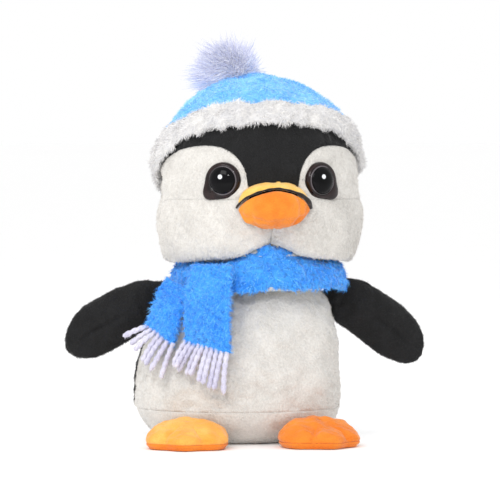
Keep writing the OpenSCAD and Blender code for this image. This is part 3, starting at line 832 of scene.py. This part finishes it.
def make_head():
    def relief(points):
        return 0.8 * lumps(points, 24, 6) + 0.3 * lumps(points, 7, 7)

    def add(name, points, material, colours, slot, nodes, count, depths, length=2.4):
        seams = dict(zip(("left", "right", "low", "high"), depths, strict=True))
        skin = Skin(name, points, HEAD, seams, relief=relief(points))
        dress(skin.piece, "head", slot, [material], nodes)
        pile(name + "_pile", skin, "head", slot, colours, count, length, 0.28, keep=bare_face)

    columns = np.linspace(PEAK_EDGE, FACE_EDGE, 90)
    for side, word in ((-1, "right"), (1, "left")):
        cheek_columns = side * np.linspace(0, FACE_EDGE, 110)
        points = head_grid(cheek_columns, neck_edge, crease_angle, 60)
        add("cheek_" + word, points, WHITE_PLUSH, WHITE_TINTS, "plush_white", ["cheek_" + word], 18000,
            (0.8, 1.2, 1.2, 0.25))
        points = head_grid(side * columns, crease_angle, brow_angle, 36)
        add("patch_" + word, points, WHITE_PLUSH, WHITE_TINTS, "plush_white", ["eye_patch_" + word], 8000,
            (0.7, 1.0, 0.25, 0.8))

    def forehead_low(az):
        return np.where(np.abs(az) <= PEAK_EDGE, crease_angle(az), brow_angle(az))

    points = head_grid(np.linspace(-FACE_EDGE, FACE_EDGE, 200), forehead_low, rim_angle, 36)
    add("forehead", points, BLACK_PLUSH, BLACK_TINTS, "plush_black", ["forehead_panel"], 12000,
        (0.8, 0.8, 0.8, 0.8), 2.6)

    def around(edge):
        return lambda az: edge(np.where(az > 180, az - 360, az))

    points = head_grid(np.linspace(FACE_EDGE, 360 - FACE_EDGE, 150), around(neck_edge), around(rim_angle), 60)
    add("head_back", points, BLACK_PLUSH, BLACK_TINTS, "plush_black", ["head_back_panel"], 14000,
        (1.2, 1.2, 1.2, 0.8))


# ---------------------------------------------------------------- hat and pompom


def make_hat():
    az, el = np.meshgrid(np.linspace(0, 360, 300, endpoint=False), np.linspace(CROWN_EDGE - 3, 89.5, 100))
    points = hat_point(az, el, HAT_LIFT)
    relief = 0.9 * lumps(points, 22, 8) + 0.45 * lumps(points, 5, 9)
    skin = Skin("hat_crown", points, HEAD, {"low": 2.2}, wrap=True, relief=relief, roll=7)
    dress(skin.piece, "head", "fleece_sky", [SKY_FLEECE], ["hat_crown"])
    pile("hat_crown_pile", skin, "head", "fleece_sky", SKY_TINTS, 34000, 3.0, 0.34, stand=0.5, clump=0.8,
         clump_size=5, droop=0.1, curl=0.1)

    az, turn = np.meshgrid(np.linspace(0, 360, 320, endpoint=False), np.linspace(0, 360, 40, endpoint=False))
    wobble = lumps(hat_point(az, np.full_like(az, 1.0), 0.0), 16, 12)
    hang = smooth((np.minimum(az, 360 - az) - 35) / 50)
    band_middle = BAND_MIDDLE - 5.0 * hang
    angle = band_middle + (BAND_HALF_ANGLE + 3.0 * hang + 0.9 * wobble) * np.cos(np.radians(turn))
    lift = BAND_LIFT + (BAND_HALF_THICKNESS + 0.7 * wobble) * np.sin(np.radians(turn))
    points = hat_point(az, angle, lift)
    middle = hat_point(az, band_middle, np.full_like(az, BAND_LIFT))
    relief = 0.7 * lumps(points, 9, 13)
    skin = Skin("hat_band", points, middle, wrap=True, loop=True, relief=relief)
    dress(skin.piece, "head", "plush_band", [BAND_PLUSH], ["hat_band"])

    def outer(roots):
        d = roots - HEAD
        return np.linalg.norm(d, axis=1) > head_distance(unit(d)) + 1.5

    pile("hat_band_pile", skin, "head", "plush_band", BAND_TINTS, 28000, 3.8, 0.42, stand=0.6, stray=0.4,
         clump=0.9, clump_size=9, droop=0.15, curl=0.08, keep=outer, parts=3)


def make_pompom():
    source = random_for("pompom_shape")
    axis = unit(TIE - HEAD)
    az, rise = np.meshgrid(np.linspace(0, 360, 60, endpoint=False), np.linspace(0, 88, 16))
    flat = unit(np.cross(axis, np.array([0.0, 1.0, 0.0])))
    other = np.cross(axis, flat)
    a, e = np.radians(az), np.radians(rise)
    ways = (np.cos(a) * np.cos(e))[..., None] * flat + (np.sin(a) * np.cos(e))[..., None] * other
    ways = ways + np.sin(e)[..., None] * axis
    core = TIE + ways * POMPOM_CORE
    skin = Skin("pompom_core", core, TIE - axis * 4, wrap=True, relief=1.2 * lumps(core, 8, 14), tuck=4)
    dress(skin.piece, "pompom_ball", "pompom_pile", [BAND_PLUSH], ["pompom"])

    tufts, each = POMPOM_TUFTS, POMPOM_FIBRES_EACH
    turn, height = source.uniform(0, 2 * math.pi, tufts), source.uniform(-0.05, 1, tufts)
    wide = np.sqrt(np.maximum(0, 1 - height**2))
    tuft_way = (wide * np.cos(turn))[:, None] * flat + (wide * np.sin(turn))[:, None] * other
    tuft_way = unit(tuft_way + height[:, None] * axis)
    tuft_length = source.uniform(*POMPOM_LENGTH, tufts)
    tuft_sweep = np.array([-0.2, -0.04, -0.06]) + 0.12 * source.normal(size=(tufts, 3))
    chosen = np.repeat(np.arange(tufts), each)
    count = len(chosen)
    ways = unit(tuft_way[chosen] + 0.17 * source.normal(size=(count, 3)))
    roots = TIE + ways * 3 + 1.5 * source.normal(size=(count, 3))
    sweeps = tuft_sweep[chosen] - 0.35 * (ways - tuft_way[chosen])
    lengths = tuft_length[chosen] * source.uniform(0.7, 1.02, count)
    shades = unit(0.5 * ways + 0.5 * tuft_way[chosen])
    facing = unit(shades + 0.8 * source.normal(size=(count, 3)))
    fibres("pompom_pile", "pompom_ball", "pompom_pile", POMPOM_TINTS, roots, ways, sweeps, facing,
           lengths, 0.75, parts=4, curl=0.04, turns=0.8)


# ---------------------------------------------------------------- eyes


def eye_axes(side):
    """An eye's own directions: to the toy's left, upwards and outwards."""
    a = math.radians(side * EYE_TURN)
    right = np.array([math.cos(a), math.sin(a), 0])
    out = np.array([math.sin(a), -math.cos(a), 0.017])
    return right, unit(np.cross(out, right)), unit(out)


def dome(name, side, rings, slot, material, replaces=()):
    """A shell over an eye. Each ring is a radius for every turn, a height and a sideways shift."""
    turn = np.linspace(0, 2 * math.pi, 72, endpoint=False)
    right, up, out = eye_axes(side)
    rows = []
    for radius, height, shift in rings:
        r = radius(turn)
        across = r * np.cos(turn) + shift
        rows.append(eye_place(side) + across[:, None] * right + (r * np.sin(turn))[:, None] * up
                    + height * out)
    points = np.stack(rows)
    _, flip = grid_normals(points, eye_place(side) - 6 * out, True)
    piece = build_mesh(name, points.reshape(-1, 3), [grid_faces(*points.shape[:2], True, flip)])
    return dress(piece, "head", slot, [material], replaces)


def pupil_colour(word, painted_highlight_place):
    """Glossy black with a small white painted highlight that stands for a lamp's reflection."""
    material, tree, made = shader("eye_pupil_" + word, 0.05)
    made.inputs["Specular IOR Level"].default_value = 0.12
    depth = noise_node(tree, 12, 0.0)
    black = ramp_node(tree, depth.outputs["Fac"], 0.3, 0.8, colour(3, 3, 4), colour(14, 13, 16))
    place = tree.nodes.new("ShaderNodeTexCoord")
    away = tree.nodes.new("ShaderNodeVectorMath")
    away.operation = "DISTANCE"
    away.inputs[1].default_value = tuple(painted_highlight_place * MM)
    tree.links.new(place.outputs["Object"], away.inputs[0])
    edge = tree.nodes.new("ShaderNodeMapRange")
    edge.inputs["From Min"].default_value = 1.2 * MM
    edge.inputs["From Max"].default_value = 1.7 * MM
    tree.links.new(away.outputs["Value"], edge.inputs["Value"])
    mixed = tree.nodes.new("ShaderNodeMix")
    mixed.data_type = "RGBA"
    # White for the painted highlight, in a small circle round its place.
    mixed.inputs["A"].default_value = colour(235, 238, 242)
    tree.links.new(edge.outputs["Result"], mixed.inputs["Factor"])
    tree.links.new(black.outputs["Color"], mixed.inputs["B"])
    tree.links.new(mixed.outputs["Result"], made.inputs["Base Color"])
    return material


def make_eyes():
    rim_material, tree, made = shader("eye_rim", 0.14)
    ring = noise_node(tree, 6, 1.0)
    brown = ramp_node(tree, ring.outputs["Fac"], 0.3, 0.7, colour(20, 11, 12), colour(38, 22, 22))
    tree.links.new(brown.outputs["Color"], made.inputs["Base Color"])
    made.inputs["Specular IOR Level"].default_value = 0.3
    # The ring is dark, with grey patches painted in as reflections of a clear lens edge.
    ring_material, tree, made = shader("eye_ring", 0.16)
    shine = noise_node(tree, 11, 0.0)
    painted_reflection = ramp_node(tree, shine.outputs["Fac"], 0.45, 0.62, colour(20, 15, 17), colour(84, 78, 82))
    tree.links.new(painted_reflection.outputs["Color"], made.inputs["Base Color"])

    for side, word in ((-1, "right"), (1, "left")):
        corner = math.radians(-138 if side < 0 else -42)

        def teardrop(share, corner=corner):
            def radius(turn):
                off = np.abs((turn - corner + math.pi) % (2 * math.pi) - math.pi)
                return EYE_RADIUS * share * (1 + 0.4 * np.exp(-((off / 0.42) ** 2)))

            return radius

        def circle(radius):
            return lambda turn: np.full_like(turn, radius)

        inward = -side * 0.6
        rim = [(teardrop(1.0), -2.5, 0), (teardrop(1.0), 0.2, 0), (teardrop(0.97), 1.3, 0),
               (teardrop(0.93), 2.0, 0), (circle(10.1), 2.7, inward), (circle(9.8), 2.7, inward),
               (circle(9.5), 2.2, inward), (circle(2), 2.1, inward)]
        dome("eye_rim_" + word, side, rim, "eye_gloss", rim_material, ["eye_" + word])
        band = [(circle(9.7), 2.1, inward), (circle(9.6), 2.8, inward), (circle(9.2), 3.1, inward),
                (circle(8.8), 3.0, inward), (circle(8.4), 2.4, inward)]
        dome("eye_ring_" + word, side, band, "eye_gloss", ring_material)
        pupil = [(circle(8.8 * math.cos(math.radians(e))), 2.3 + 3.4 * math.sin(math.radians(e)), inward)
                 for e in (0, 8, 18, 30, 42, 54, 66, 78, 86, 89.5)]
        right, up, out = eye_axes(side)
        # Where the painted highlight sits on each pupil.
        painted_highlight_place = eye_place(side) + (inward - 0.8) * right + 2.4 * up + 5.4 * out
        dome("eye_pupil_" + word, side, pupil, "eye_gloss", pupil_colour(word, painted_highlight_place))


# ---------------------------------------------------------------- beak


def make_beak():
    azimuths = np.linspace(-76, 76, 110)

    def part(name, low, high, rows, relief, material, colours, slot, nodes, valley, count):
        az = azimuths[None, :]
        el = between(low(az), high(az), np.linspace(0, 1, rows)[:, None])
        points = beak_point(np.broadcast_to(az, el.shape), el)
        seams = dict.fromkeys(("left", "right", "low", "high"), valley)
        skin = Skin(name, points, BEAK, seams, relief=relief(points, az, el), roll=4, tuck=1.5)
        dress(skin.piece, "head", slot, [material], nodes)
        if count:
            pile(name + "_pile", skin, "head", slot, colours, count, 0.8, 0.18, stray=0.9, clump=0.2,
                 droop=0.1)

    def creases(points, az, el):
        """Soft folds that run down from the corners of the mouth and across the middle."""
        fold = np.exp(-(((np.abs(az) - 42 + 0.25 * el) / 7) ** 2))
        middle = np.exp(-((az / 6) ** 2)) * smooth((10 - el) / 30)
        cross = np.exp(-(((el + 22 + 8 * np.cos(np.radians(2 * az))) / 6) ** 2))
        return 0.35 * lumps(points, 7, 21) - 1.1 * fold - 0.7 * middle - 0.7 * cross

    def fine_lumps(points, az, el):
        return 0.25 * lumps(points, 6, 22)

    part("beak_upper", lambda az: mouth_angle(az) + 2.5, lambda az: 80 + 0 * az, 34, fine_lumps, FELT,
         FELT_TINTS, "fabric_amber", ["beak_upper"], 1.0, 2500)
    part("beak_lower", lambda az: -80 + 0 * az, lambda az: mouth_angle(az) - 2.5, 60, creases, ORANGE_CLOTH,
         ORANGE_TINTS, "fabric_orange", ["beak_lower", "beak_stuffing"], 1.4, 3500)

    az = np.linspace(-78, 78, 120)
    path = beak_point(az, mouth_angle(az), np.full_like(az, 0.3))
    ahead = unit(np.gradient(path, axis=0))
    out = unit(tangent(path - BEAK, ahead))
    side = np.cross(ahead, out)
    thick = 0.75 + 0.9 * smooth((az - 20) / 40) + 0.15 * np.sin(az / 3.1)
    turn = np.linspace(0, 2 * math.pi, 12, endpoint=False)
    tube = path[:, None] + thick[:, None, None] * (
        np.cos(turn)[None, :, None] * out[:, None] + 0.85 * np.sin(turn)[None, :, None] * side[:, None])
    middle = np.broadcast_to(path[:, None], tube.shape)
    _, flip = grid_normals(tube, middle, True)
    piece = build_mesh("mouth_trim", tube.reshape(-1, 3), [grid_faces(*tube.shape[:2], True, flip)])
    dress(piece, "head", "trim_dark", [DARK_TRIM], ["mouth_trim"])


# ---------------------------------------------------------------- scarf


def make_collar():
    az, turn = np.meshgrid(np.linspace(0, 360, 320, endpoint=False), np.linspace(0, 360, 52, endpoint=False))
    t = np.radians(turn)
    a = np.radians(az)
    sway = 1.1 * np.sin(3 * a + 0.7) + 0.7 * np.sin(7 * a + 2)
    middle_z = (COLLAR_LOW + COLLAR_HIGH) / 2
    side = np.minimum(az, 360 - az)
    cleft = np.exp(-((side / COLLAR_CHIN_SPREAD) ** 2))
    below_cheeks = COLLAR_UNDER_CHEEKS * smooth((110 - side) / 50) * (1 - cleft) - COLLAR_AT_CHIN * cleft
    tall = np.where(np.sin(t) > 0, COLLAR_HALF_HEIGHT - below_cheeks, COLLAR_HALF_HEIGHT)
    high = middle_z + sway * 0.6 + tall * np.sign(np.sin(t)) * np.abs(np.sin(t)) ** 0.8
    above = high - NECK[2]
    ball = np.sqrt(np.maximum(COLLAR_RADIUS**2 - above**2, between(400, 51.5**2, cleft)))
    radius = ball - 3.0 + 4.2 * np.sign(np.cos(t)) * np.abs(np.cos(t)) ** 0.7
    points = np.stack([NECK[0] + radius * np.sin(a), -radius * np.cos(a), high], -1)
    core = ball - 3
    middle = np.stack([NECK[0] + core * np.sin(a), -core * np.cos(a), np.full_like(a, middle_z)], -1)
    rows = 0.5 * np.sin(2 * math.pi * (points[..., 2] + 2 * np.sin(a * 5)) / 5.5)
    relief = rows + 0.6 * lumps(points, 6, 31) + 0.7 * lumps(points, 18, 32)
    skin = Skin("collar", points, middle, wrap=True, loop=True, relief=relief)
    dress(skin.piece, "torso", "fleece_blue", [BLUE_FLEECE], ["scarf_wrap"])

    def outer(roots):
        from_neck = roots - NECK
        return np.linalg.norm(from_neck, axis=1) > COLLAR_RADIUS - 5

    tufts = pile("collar_pile", skin, "torso", "fleece_blue", BLUE_TINTS, 20000, 3.6, 0.42, stray=0.4,
                 clump=0.9, clump_size=6, droop=0.3, curl=0.15, keep=outer, parts=3)


ENDS = {
    "front": dict(
        top=np.array([-26, -50.5, 119]), foot=np.array([-31, -60.5, 67]), across=np.array([0.8, -0.6, 0]),
        width=34, length=54, slant=7, strands=10, fan=((-0.62, -0.12, -0.78), (-0.06, -0.1, -1)),
        reach=(19, 26), body="scarf_end_front"),
    "rear": dict(
        top=np.array([-44, -29, 106]), foot=np.array([-58, -37, 73]), across=np.array([0.66, -0.62, -0.42]),
        width=25, length=38, slant=2, strands=7, fan=((-0.9, -0.05, -0.4), (-0.4, -0.1, -0.9)),
        reach=(18, 22), body="scarf_end_rear"),
}


def end_point(end, u, v):
    """A place on a hanging end: u runs across from -0.5 to 0.5, and v down from 0 to 1."""
    u, v = np.broadcast_arrays(u, v)
    across = unit(end["across"])
    down = end["foot"] - end["top"]
    out = unit(np.cross(across, down))
    if out[1] > 0:
        out = -out
    drop = v + end["slant"] / np.linalg.norm(down) * (u + 0.2) * smooth(v * 1.4 - 0.4)
    point = end["top"] + drop[..., None] * down + (u * end["width"] * (0.9 + 0.1 * v))[..., None] * across
    swell_out = 3.2 * np.sin(np.pi * np.clip(v, 0, 1)) + 1.2 * np.sin(2 * np.pi * (u + 0.1)) * smooth(v)
    return point + swell_out[..., None] * out, out


def make_scarf_end(word):
    end = ENDS[word]
    name = "scarf_" + word
    round_end = np.radians(np.linspace(0, 360, 72, endpoint=False))
    v, turn = np.meshgrid(np.linspace(0, 1, 70), round_end, indexing="ij")
    near_end = np.minimum(v, 1 - v) * end["length"] / 2.6
    cap = np.sqrt(np.clip(1 - (1 - np.minimum(near_end, 1)) ** 2, 0, 1))
    u = 0.5 * np.sign(np.cos(turn)) * np.abs(np.cos(turn)) ** 0.45
    place, out = end_point(end, u, v)
    deep = 2.7 * cap * np.sign(np.sin(turn)) * np.abs(np.sin(turn)) ** 0.75
    points = place + (deep - 2.7)[..., None] * out
    middle = end_point(end, np.zeros_like(u), v)[0] - 2.7 * out
    rows = 0.55 * np.sin(2 * math.pi * (v * end["length"] + 1.2 * np.sin(u * 9)) / 5.2)
    relief = (rows + 0.5 * lumps(points, 6, 41)) * cap
    skin = Skin(name, points, middle, wrap=True, relief=relief, tuck=0.0)
    weld(skin.piece)
    pivot = joint_place(f"scarf_end_{word}_lift")
    bend = ("torso", end["body"], pivot + np.array([0, 0, 7.0]), pivot - np.array([0, 0, 7.0]))
    dress(skin.piece, None, "fleece_blue", [BLUE_FLEECE], [f"scarf_tail_{word}"], bend=bend)
    count = 9000 if word == "front" else 5000
    tufts = pile(name + "_pile", skin, None, "fleece_blue", BLUE_TINTS, count, 3.4, 0.36, stray=0.5,
                 clump=1.0, clump_size=5, droop=0.3, curl=0.2, bend=bend, parts=3)
    fringe = make_fringe(word, end, out)


def make_fringe(word, end, out):
    """Two-ply yarns in a fan below a hanging end."""
    name = "fringe_" + word
    source = random_for(name)
    yarns, faces, fuzz_roots, fuzz_ways, start = [], [], [], [], 0
    first, last = (unit(np.array(way, float)) for way in end["fan"])
    count = end["strands"]
    for i in range(count):
        share = i / (count - 1)
        root, _ = end_point(end, (share - 0.5) * 0.9, 0.97)
        way = unit(between(first, last, share) + 0.07 * source.normal(size=3))
        reach = between(*end["reach"], share) * source.uniform(0.93, 1.05)
        side = unit(np.cross(way, out))
        sag = source.uniform(-0.1, 0.1)
        t = np.linspace(0, 1, 26)
        path = root - 2.7 * out + way * (t * reach)[:, None]
        path = path + side * (sag * reach * t**2)[:, None] + out * (1.0 * np.sin(np.pi * t))[:, None]
        path[:, 2] -= 1.5 * t**2
        ahead = unit(np.gradient(path, axis=0))
        right = unit(np.cross(ahead, np.broadcast_to(out, ahead.shape)))
        front = np.cross(right, ahead)
        turn = np.radians(np.linspace(0, 360, 16, endpoint=False))[None, :]
        twist = 2 * math.pi * t[:, None] * reach / 9
        ply = 1.55 * (1 + 0.2 * np.cos(2 * (turn - twist)))
        tip = np.sqrt(np.clip(1 - ((t - 0.93) / 0.07).clip(0, 1) ** 2, 0.02, 1))[:, None]
        size = (ply * tip * (1 + 0.1 * t[:, None]))[..., None]
        ring = path[:, None] + size * (np.cos(turn)[..., None] * right[:, None] + np.sin(turn)[..., None]
                                       * front[:, None])
        _, flip = grid_normals(ring, np.broadcast_to(path[:, None], ring.shape), True)
        yarns.append(ring.reshape(-1, 3))
        faces.append(grid_faces(*ring.shape[:2], True, flip, start))
        start += ring.shape[0] * ring.shape[1]
        chosen = source.integers(2, 26, 90), source.integers(0, 16, 90)
        fuzz_roots.append(ring[chosen])
        fuzz_ways.append(unit(ring[chosen] - path[chosen[0]] + 0.5 * ahead[chosen[0]]))
    piece = build_mesh(name, np.concatenate(yarns), faces)
    dress(piece, end["body"], "fringe_yarn", [YARN], [f"scarf_fringe_{word}"])
    roots, ways = np.concatenate(fuzz_roots), np.concatenate(fuzz_ways)
    down = np.broadcast_to(-0.4 * UP, roots.shape)
    fuzz = fibres(name + "_fuzz", end["body"], "fringe_yarn", YARN_TINTS, roots, ways, down, ways,
                  source.uniform(0.7, 1.8, len(roots)), 0.18, curl=0.1)
    return piece, fuzz


# ---------------------------------------------------------------- flippers


def flipper_frame(side, points):
    """From a flipper's own frame, with +X towards its tip, into the toy's."""
    placed = turned(points, 1, DROOP[side])
    return SHOULDER[side] + placed * np.array([side, 1, 1])


def flipper_width_at(s):
    full = FLIPPER_REACH * 0.45
    narrow = between(0.55, 1.0, smooth((s - FLIPPER_ROOT) / 20))
    root = between(17.0, FLIPPER_HALF_WIDTH, smooth(s / full)) * narrow
    tip = FLIPPER_HALF_WIDTH * swell((s - full) / (FLIPPER_REACH * 0.55), 2.2)
    return np.where(s < full, root, tip)


def flipper_own(s, turn):
    """A place on a flipper in its own frame, before it is bent and stuffed."""
    wide = np.maximum(flipper_width_at(s), 0.3)
    thick = FLIPPER_HALF_THICKNESS * (wide / FLIPPER_HALF_WIDTH) ** 0.6
    a = np.radians(turn)
    return np.stack([s, -thick * np.sin(a), wide * np.cos(a)], -1)


def make_flipper(side, word):
    body = "flipper_" + word
    blade = np.linspace(FLIPPER_ROOT, FLIPPER_REACH - 6, 66)
    reach = np.concatenate([blade, FLIPPER_REACH - 6 * np.linspace(0.9, 0, 14) ** 2])
    bend = ("torso", body, flipper_frame(side, np.array([-13.0, 0, 0])),
            flipper_frame(side, np.array([5.0, 0, 0])))
    for half, low, high in (("front", 0, 180), ("back", 180, 360)):
        s, turn = np.meshgrid(reach, np.linspace(low, high, 56), indexing="ij")
        a = np.radians(turn)
        own = flipper_own(s, turn)
        outward = np.maximum(s / FLIPPER_REACH, 0) ** 2
        own[..., 2] -= FLIPPER_SAG * outward - FLIPPER_RISE
        own[..., 1] -= 2.0 * outward
        pushed = puff("flipper", (s - FLIPPER_ROOT) / 80, turn / 360)
        own[..., 1] += np.sign(-np.sin(a)) * pushed * np.abs(np.sin(a))
        line = np.stack([s, np.zeros_like(s), -FLIPPER_SAG * outward + FLIPPER_RISE], -1)
        points, inside = flipper_frame(side, own), flipper_frame(side, line)
        relief = 0.6 * lumps(points, 20, 51) + 0.3 * lumps(points, 7, 52)
        if half == "front":
            off_line = own[..., 2] - line[..., 2]
            quilt = np.exp(-((off_line / 1.6) ** 2)) * smooth((s - 8) / 12) * smooth((50 - s) / 10)
            relief = relief - 1.8 * quilt
        skin = Skin(f"flipper_{word}_{half}", points, inside, {"left": 1.2, "right": 1.2},
                    relief=relief, roll=4, tuck=0.5)
        nodes = [f"flipper_{word}_{half}"] + ([f"flipper_{word}_stuffing"] if half == "front" else [])
        dress(skin.piece, None, "plush_black", [BLACK_PLUSH], nodes, bend=bend)
        pile(f"flipper_{word}_{half}_pile", skin, None, "plush_black", BLACK_TINTS, 9000, 2.2, 0.26,
             stray=0.45, droop=0.3, bend=bend)


# ---------------------------------------------------------------- feet


def foot_edge(turn):
    front = np.cos(turn)
    half_length = np.where(front > 0, FOOT_REACH * 0.55, FOOT_REACH * 0.45 + FOOT_HEEL)
    oval = 1 / np.sqrt((np.sin(turn) / FOOT_HALF_WIDTH) ** 2 + (front / half_length) ** 2)
    return oval * np.where(front > 0, 1 + 0.1 * front * np.cos(5 * turn), 1)


def foot_frame(side, points):
    placed = turned(points, 2, side * FOOT_SPLAY)
    return placed + np.array([side * FOOT_PLACE[0], FOOT_PLACE[1], 0])


def make_foot(side, word, material, colours, slot):
    body = "foot_" + word
    turn, rise = np.meshgrid(np.radians(np.linspace(0, 360, 150, endpoint=False)), np.linspace(0, 89.5, 44))
    share, lift = np.cos(np.radians(rise)) ** 0.8, np.sin(np.radians(rise)) ** 0.85
    r = foot_edge(turn.T).T * share
    ahead = -(-r * np.cos(turn) - FOOT_REACH * 0.45) / FOOT_REACH
    instep = FOOT_THICKNESS + INSTEP_RISE * np.exp(-(((ahead - INSTEP_PLACE) / INSTEP_SPREAD) ** 2))
    own = np.stack([r * np.sin(turn), -ahead * FOOT_REACH, FOOT_SEAM + lift * (instep - FOOT_SEAM)], -1)
    toe = np.abs((np.degrees(turn) + 180) % 360 - 180)
    seam_line = np.exp(-(((toe - 36) / 5.5) ** 2)) * smooth((share - 0.3) / 0.35)
    points = foot_frame(side, own)
    middle = foot_frame(side, np.array([0.0, -FOOT_REACH * 0.45, FOOT_SEAM - 4]))
    relief = 0.5 * lumps(points, 13, 61) + 0.2 * lumps(points, 5, 62) - 1.7 * seam_line
    skin = Skin(f"foot_{word}_upper", points, middle, {"low": 1.2}, wrap=True, relief=relief, roll=4,
                tuck=1.0)
    dress(skin.piece, body, slot, [material], [f"foot_{word}_upper", f"foot_{word}_stuffing"])
    pile(f"foot_{word}_nap", skin, body, slot, colours, 7000, 0.9, 0.18, stray=0.8, clump=0.3, droop=0.2)

    turn, level = np.meshgrid(np.radians(np.linspace(0, 360, 150, endpoint=False)), np.linspace(0, 1, 16))
    share = np.where(level < 0.5, level / 0.5 * 0.9, 0.9 + 0.1 * smooth((level - 0.5) / 0.5))
    height = np.where(level < 0.5, 0.05, 0.05 + (FOOT_SEAM - 0.05) * (level - 0.5) / 0.5)
    r = foot_edge(turn) * np.maximum(share, 0.02)
    own = np.stack([r * np.sin(turn), -r * np.cos(turn) - FOOT_REACH * 0.45, height], -1)
    inside = foot_frame(side, np.array([0.0, -FOOT_REACH * 0.45, FOOT_SEAM + 2]))
    skin = Skin(f"foot_{word}_sole", foot_frame(side, own), inside, {"high": 1.0}, wrap=True, roll=3,
                tuck=1.0)
    dress(skin.piece, body, "fabric_orange", [ORANGE_CLOTH], [f"foot_{word}_sole"])


# ---------------------------------------------------------------- what stays inside

INNER = {
    "torso_stuffing": FILLING, "neck_stuffing": FILLING, "head_stuffing": FILLING,
    "pellet_bag": PELLET_CLOTH, "head_top_panel": BLACK_PLUSH, "pompom_tie": YARN,
    "eye_washer_right": WASHER_PLASTIC, "eye_washer_left": WASHER_PLASTIC,
}


def dress_inner():
    for node, material in INNER.items():
        piece = frame["nodes"][node]
        piece.data.materials.clear()
        piece.data.materials.append(material)


# ---------------------------------------------------------------- studio


CAMERA_AZIMUTH = -9
CAMERA_ELEVATION = 2
CAMERA_DISTANCE = 2.5
CAMERA_TARGET = (0.0081, 0, 0.126)
PICTURE_WIDTH = 0.3325
SENSOR_WIDTH = 36


def area_light(name, place, aim, size, power, tint=(1, 1, 1)):
    data = bpy.data.lights.new(name, "AREA")
    data.size = size
    data.energy = power
    data.color = tint
    light = bpy.data.objects.new(name, data)
    bpy.context.scene.collection.objects.link(light)
    light.location = place
    light.rotation_euler = (Vector(aim) - Vector(place)).to_track_quat("-Z", "Y").to_euler()


def make_studio():
    scene = bpy.context.scene
    turn = np.linspace(0, 2 * math.pi, 96, endpoint=False)
    circle = np.stack([np.cos(turn), np.sin(turn), np.zeros_like(turn)], -1)
    points = np.stack([r * circle for r in (1, 300, 1500, 30000)])
    floor = build_mesh("floor", points.reshape(-1, 3), [grid_faces(4, 96, True, False)], False)
    floor.location.z = -0.0002
    material, tree, made = shader("floor_paper", 0.9)
    grain = noise_node(tree, 60, 2.0)
    paper = ramp_node(tree, grain.outputs["Fac"], 0.3, 0.7, colour(254, 254, 254), colour(255, 255, 255))
    tree.links.new(paper.outputs["Color"], made.inputs["Base Color"])
    floor.data.materials.append(material)

    world = bpy.data.worlds.new("studio")
    scene.world = world
    world.use_nodes = True
    background = world.node_tree.nodes["Background"]
    background.inputs["Color"].default_value = (1, 1, 1, 1)
    background.inputs["Strength"].default_value = 1.0
    aim = (0.01, 0, 0.13)
    area_light("key", (-0.7, -0.9, 1.0), aim, 0.6, 6)
    area_light("catchlight", (-0.25, -1.0, 0.62), aim, 0.06, 2.0)
    area_light("top", (0.1, 0.5, 1.1), aim, 0.7, 2)
    scene.view_settings.view_transform = "Standard"

    data = bpy.data.cameras.new("camera")
    data.sensor_width = SENSOR_WIDTH
    data.lens = SENSOR_WIDTH * CAMERA_DISTANCE / PICTURE_WIDTH
    camera = bpy.data.objects.new("camera", data)
    scene.collection.objects.link(camera)
    az, el = math.radians(CAMERA_AZIMUTH), math.radians(CAMERA_ELEVATION)
    back = Vector((math.sin(az) * math.cos(el), -math.cos(az) * math.cos(el), math.sin(el)))
    camera.location = Vector(CAMERA_TARGET) + back * CAMERA_DISTANCE
    camera.rotation_euler = (-back).to_track_quat("-Z", "Y").to_euler()
    scene.camera = camera


# ---------------------------------------------------------------- put together


def stuff_all():
    """Runs the cloth solver on the torso, the head and one flipper, with their seams held."""
    az = np.linspace(0, 360, 120, endpoint=False)
    a, z = np.meshgrid(az, np.linspace(0, TORSO_TOP, 59))
    sewn = (z < 1) | (z > COLLAR_LOW)
    sewn |= np.isclose(a, BACK_EDGE) | np.isclose(a, 360 - BACK_EDGE)
    stuff_cloth("torso", torso_point(a, z), np.array([0, 0, 50.0]), sewn)

    a, el = np.meshgrid(az, np.linspace(-84, 88, 87))
    side = np.abs(np.where(a > 180, a - 360, a))
    d = direction(a, el)
    sewn = np.isclose(side, FACE_EDGE) | (el < -52) | (np.abs(above_rim(d) - 1) < 2)
    sewn |= (side < 1) & (el < CREASE)
    stuff_cloth("head", HEAD + d * head_distance(d)[..., None], HEAD, sewn)

    along = np.linspace(FLIPPER_ROOT, FLIPPER_REACH - 1, 40)
    turn, s = np.meshgrid(np.linspace(0, 360, 40, endpoint=False), along)
    stuff_cloth("flipper", flipper_own(s, turn), np.stack([s, 0 * s, 0 * s], -1),
                np.isclose(turn % 180, 0) | (s < -18))


stuff_all()
make_torso()
make_head()
make_hat()
make_pompom()
make_eyes()
make_beak()
make_collar()
make_scarf_end("front")
make_scarf_end("rear")
make_flipper(-1, "right")
make_flipper(1, "left")
make_foot(-1, "right", AMBER_CLOTH, AMBER_TINTS, "fabric_amber")
make_foot(1, "left", ORANGE_CLOTH, ORANGE_TINTS, "fabric_orange")
dress_inner()
make_studio()
